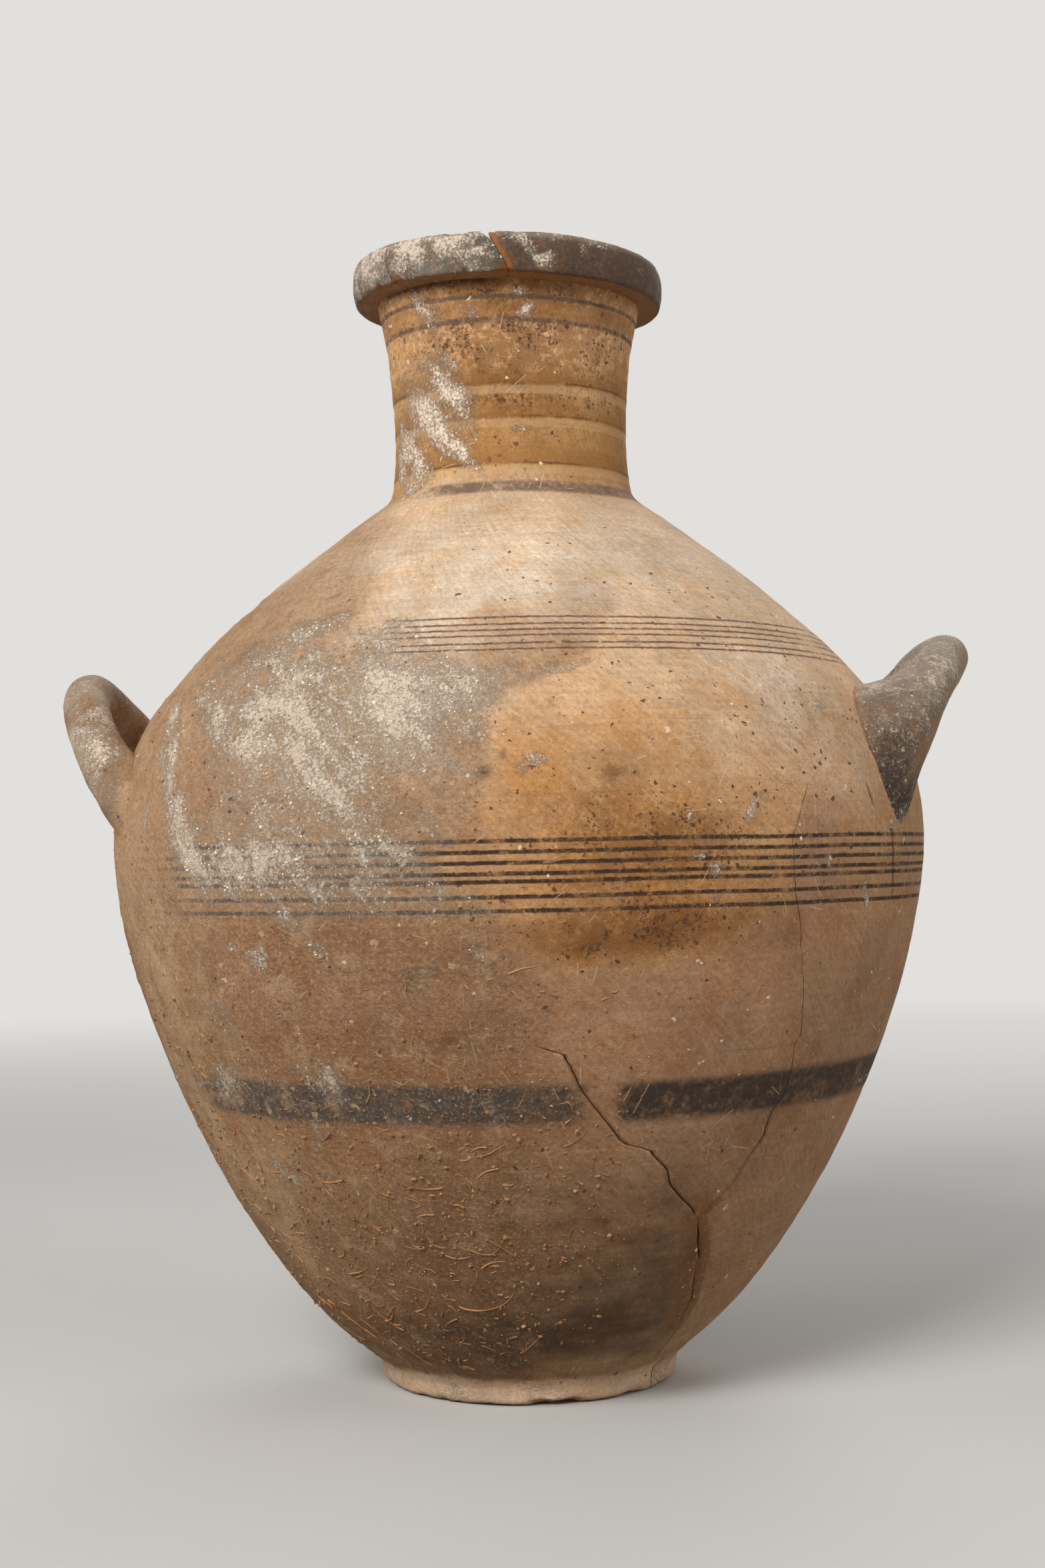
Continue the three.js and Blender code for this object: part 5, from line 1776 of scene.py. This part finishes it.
def limed(shader, colour, wall):
    """Lime: a cloudy veil with wiped streaks, and many grains. Returns the colour and the grains' share."""
    lime = shader.attribute("lime")
    cloud = shader.scaled(shader.grain(75, 7, 0.8, shift=4.1), 2.2, -1.1)
    streaks = shader.grain(1, 5, 0.75, shader.unrolled(-52, 12, 2.0)) if wall else shader.grain(260, 5, 0.8)
    uneven = shader.calc("ADD", cloud, shader.scaled(streaks, 1.6, -0.8))
    thick = shader.calc("ADD", lime, shader.product(uneven, shader.step(lime, 0.0, 0.25)))
    veil = shader.product(shader.step(thick, 0.1, 1.1), 0.55)
    fine = shader.scaled(shader.grain(760, 5, 0.88), 6.0, -3.0)
    fine = shader.product(fine, shader.step(lime, 0.02, 0.2))
    dense = shader.product(shader.step(shader.calc("ADD", thick, fine), 0.2, 0.85), 0.95)
    bare = shader.scaled(shader.patches(0.54, 0.64, 400, 6, 0.85, shift=7.7), -0.6, 1.0)
    colour = shader.over(colour, LIME, shader.calc("MAXIMUM", veil, dense), bare)
    often = shader.scaled(shader.step(thick, 0.05, 0.95), 0.6, 0.004)
    small = shader.specks(560, 0.36, often)
    large = shader.specks(300, 0.24, shader.product(often, 0.45))
    return shader.over(colour, LIME_GRAIN, shader.calc("MAXIMUM", small, large), 0.88), dense


def weathered(name, paint=None, roughness=0.86, wall=True):
    """Old fired clay with what the ground left on it, and painted shade in its cracks. A wall also shows
    turning, wiping and scratch marks.
    """
    shader = Shader(name)
    colour = clay_ground(shader)
    if wall:
        colour = wiped(shader, colour)
    colour = stained(shader, colour)
    if paint:
        colour = paint(shader, colour)
    colour = soiled(shader, colour)
    colour = gritty_film(shader, colour, wall)
    if wall:
        colour = scratched(shader, colour)
    colour, lime = limed(shader, colour, wall)
    # Near black where the crack mark lies: painted shade in the sunk cracks and under the rim
    colour = shader.over(colour, tone(34, 24, 18), shader.attribute("crack"))
    rough = shader.scaled(shader.attribute("film"), 1.2, 0.5)
    grit = shader.product(shader.grain(480, 6, 0.75), rough)
    pores = shader.product(shader.specks(420, 0.3, 0.14), -0.35)
    height = shader.calc("ADD", shader.scaled(lime, 0.35, pores), grit)
    matte = shader.scaled(shader.grain(60, 3), 0.16, roughness - 0.08)
    return shader.finish(colour, matte, height, 0.0011)


def broken_clay():
    """Fresh orange clay where a sherd broke."""
    shader = Shader("broken_clay")
    colour = shader.over(FRACTURE, tone(172, 116, 64), shader.patches(0.35, 0.7, 220, 5, 0.7))
    colour = shader.over(colour, tone(124, 84, 50), shader.specks(500, 0.3, 0.2))
    return shader.finish(colour, 0.92, shader.grain(600, 5, 0.7), 0.0008)


def glued_shaded_break():
    """A break in the wall: brown with old glue and soil, and dark as painted shade in the gaps between
    sherds.
    """
    shader = Shader("glued_shaded_break")
    colour = shader.over(tone(92, 62, 40), tone(52, 36, 25), shader.patches(0.35, 0.7, 180, 5, 0.7))
    return shader.finish(colour, 0.9, shader.grain(500, 4, 0.7), 0.0006)


def inside_clay():
    """Plain clay inside the jar, with turning marks."""
    shader = Shader("inside_clay")
    streak = shader.grain(1, 4, 0.6, shader.vector("MULTIPLY", shader.place, (10, 10, 260)))
    colour = shader.over(tone(160, 118, 84), tone(196, 154, 116), streak)
    colour = shader.over(colour, tone(112, 82, 58), shader.patches(0.5, 0.75, 40, 5, 0.7))
    return shader.finish(colour, 0.9, streak, 0.0012)


def rootlet_bark():
    """Dry orange-brown root."""
    shader = Shader("rootlet_bark")
    colour = shader.over(tone(204, 152, 104), tone(158, 110, 70), shader.patches(0.35, 0.65, 90, 4, 0.7))
    return shader.finish(colour, 0.85, shader.grain(1400, 3), 0.0001)


def soil_lumps():
    """Crumbs of soil, some of them limy."""
    shader = Shader("soil_lumps")
    colour = shader.over(tone(176, 132, 90), tone(142, 100, 66), shader.patches(0.4, 0.6, 60, 4, 0.7))
    colour = shader.over(colour, tone(190, 152, 114), shader.patches(0.6, 0.66, 110, 2))
    return shader.finish(colour, 0.95, shader.grain(1200, 3), 0.0002)


def lime_lumps():
    """Grains of lime, some of them stained."""
    shader = Shader("lime_lumps")
    colour = shader.over(LIME_GRAIN, tone(206, 178, 150), shader.patches(0.4, 0.65, 140, 4, 0.7))
    return shader.finish(colour, 0.95, shader.grain(1200, 3), 0.0002)


def floor_paint():
    """A pale studio floor that fades into the background far from the jar."""
    shader = Shader("studio_floor")
    seen = shader.seen()
    fade_start, fade_end = 0.7, 2.6
    far = shader.step(shader.vector("LENGTH", shader.place), fade_start, fade_end)
    tint = shader.over(tone(214, 212, 208), tone(206, 204, 200), shader.grain(3, 4))
    tint = shader.over(tone(150, 146, 140), tint, seen)
    material = shader.finish(tint, 0.9, shader.grain(300, 3), 0.0001)
    glow = shader.add("ShaderNodeEmission", {"Color": BACKGROUND})
    faded = shader.joined(shader.product(far, seen), shader.surface.outputs[0], glow.outputs[0])
    shader.feed(shader.tree.nodes["Material Output"].inputs[0], faded)
    return material


def studio_floor():
    """A large round floor at the foot's level."""
    rings = (0.6, 2.0, 9.0)
    sides = 96
    corners = [(0.0, 0.0, 0.0)]
    faces = []
    for ring in rings:
        for k in range(sides):
            turn = 2 * math.pi * k / sides
            corners.append((ring * math.sin(turn), ring * math.cos(turn), 0.0))
    for k in range(sides):
        after = (k + 1) % sides
        faces.append((0, 1 + after, 1 + k))
        for ring in range(len(rings) - 1):
            low, high = 1 + ring * sides, 1 + (ring + 1) * sides
            faces.append((low + k, low + after, high + after, high + k))
    mesh = bpy.data.meshes.new("studio_floor")
    mesh.from_pydata(corners, [], faces)
    mesh.materials.append(floor_paint())
    floor = bpy.data.objects.new("studio_floor", mesh)
    bpy.context.scene.collection.objects.link(floor)


def softbox(name, place, aim, wide, tall, power):
    """A large soft lamp that faces a point."""
    lamp = bpy.data.lights.new(name, "AREA")
    lamp.shape = "RECTANGLE"
    lamp.size = wide
    lamp.size_y = tall
    lamp.energy = power
    holder = bpy.data.objects.new(name, lamp)
    holder.location = place
    holder.rotation_euler = (Vector(aim) - Vector(place)).to_track_quat("-Z", "Y").to_euler()
    bpy.context.scene.collection.objects.link(holder)


def studio_lamps():
    """A big lamp above and left of the camera, two weaker ones at the sides and one behind."""
    middle = (0, 0, 0.3)
    softbox("key", (-0.75, -1.8, 1.55), middle, 1.0, 0.8, 47)
    softbox("left_side", (-1.9, -0.4, 0.9), middle, 0.9, 1.2, 6)
    softbox("right_side", (1.9, -0.6, 0.9), middle, 0.9, 1.2, 9)
    softbox("behind", (0.4, 1.9, 1.3), middle, 1.2, 0.9, 14)


def studio_fill():
    """A weak even light from all round, behind which the camera sees the plain background."""
    world = bpy.data.worlds.new("studio")
    bpy.context.scene.world = world
    world.use_nodes = True
    nodes = Nodes(world.node_tree)
    light = world.node_tree.nodes["Background"]
    nodes.fill(light, {"Color": FILL_LIGHT, "Strength": FILL_POWER})
    shown = nodes.add("ShaderNodeBackground", {"Color": BACKGROUND, "Strength": 1.0})
    both = nodes.joined(nodes.seen(), light.outputs[0], shown.outputs[0])
    nodes.feed(world.node_tree.nodes["World Output"].inputs[0], both)


def photo_camera():
    """The camera, where the photograph was taken from."""
    distance = 1.030
    height = 0.243
    azimuth = math.radians(4.1)
    pitch = math.radians(1.8)
    roll = math.radians(-1.2)
    yaw = math.radians(0.12)
    beside_axis = Vector((math.cos(yaw), -math.sin(yaw), 0))
    ahead = Vector((math.sin(yaw), math.cos(yaw), 0))
    level_up = Vector((0, 0, 1))
    forward = math.cos(pitch) * ahead + math.sin(pitch) * level_up
    tilted = -math.sin(pitch) * ahead + math.cos(pitch) * level_up
    right = math.cos(roll) * beside_axis + math.sin(roll) * tilted
    up = -math.sin(roll) * beside_axis + math.cos(roll) * tilted
    turn = Matrix.Rotation(azimuth, 3, "Z")
    axes = Matrix((turn @ right, turn @ up, turn @ -forward)).transposed()
    lens = bpy.data.cameras.new("photo_camera")
    lens.sensor_fit = "VERTICAL"
    lens.sensor_height = 36
    lens.lens = 50
    camera = bpy.data.objects.new("photo_camera", lens)
    place = Vector((distance * math.sin(azimuth), -distance * math.cos(azimuth), height))
    camera.matrix_world = Matrix.Translation(place) @ axes.to_4x4()
    bpy.context.scene.collection.objects.link(camera)
    bpy.context.scene.camera = camera


def build():
    """The whole jar."""
    broken = broken_clay()
    dark = glued_shaded_break()
    inside = inside_clay()
    body = [weathered("painted_clay", body_paint), dark, inside]
    lower_wall(body)
    body_floor(inside)
    lower_sherd(body)
    shoulder_wall(body)
    shoulder_sherd(body)
    neck_wall([weathered("neck_clay", neck_paint), dark, inside])
    rim([weathered("rim_slip", roughness=0.72, wall=False), broken])
    foot([weathered("foot_clay", wall=False), broken])
    left_handle(weathered("handle_clay", wall=False))
    slip = weathered("handle_slip", roughness=0.7, wall=False)
    right_handle(slip)
    back_handle([slip, broken])
    rootlets(rootlet_bark())
    soil_crumbs(soil_lumps())
    lime_crumbs(lime_lumps())


bpy.context.scene.view_settings.view_transform = "Standard"
photo_camera()
studio_floor()
studio_lamps()
studio_fill()
build()
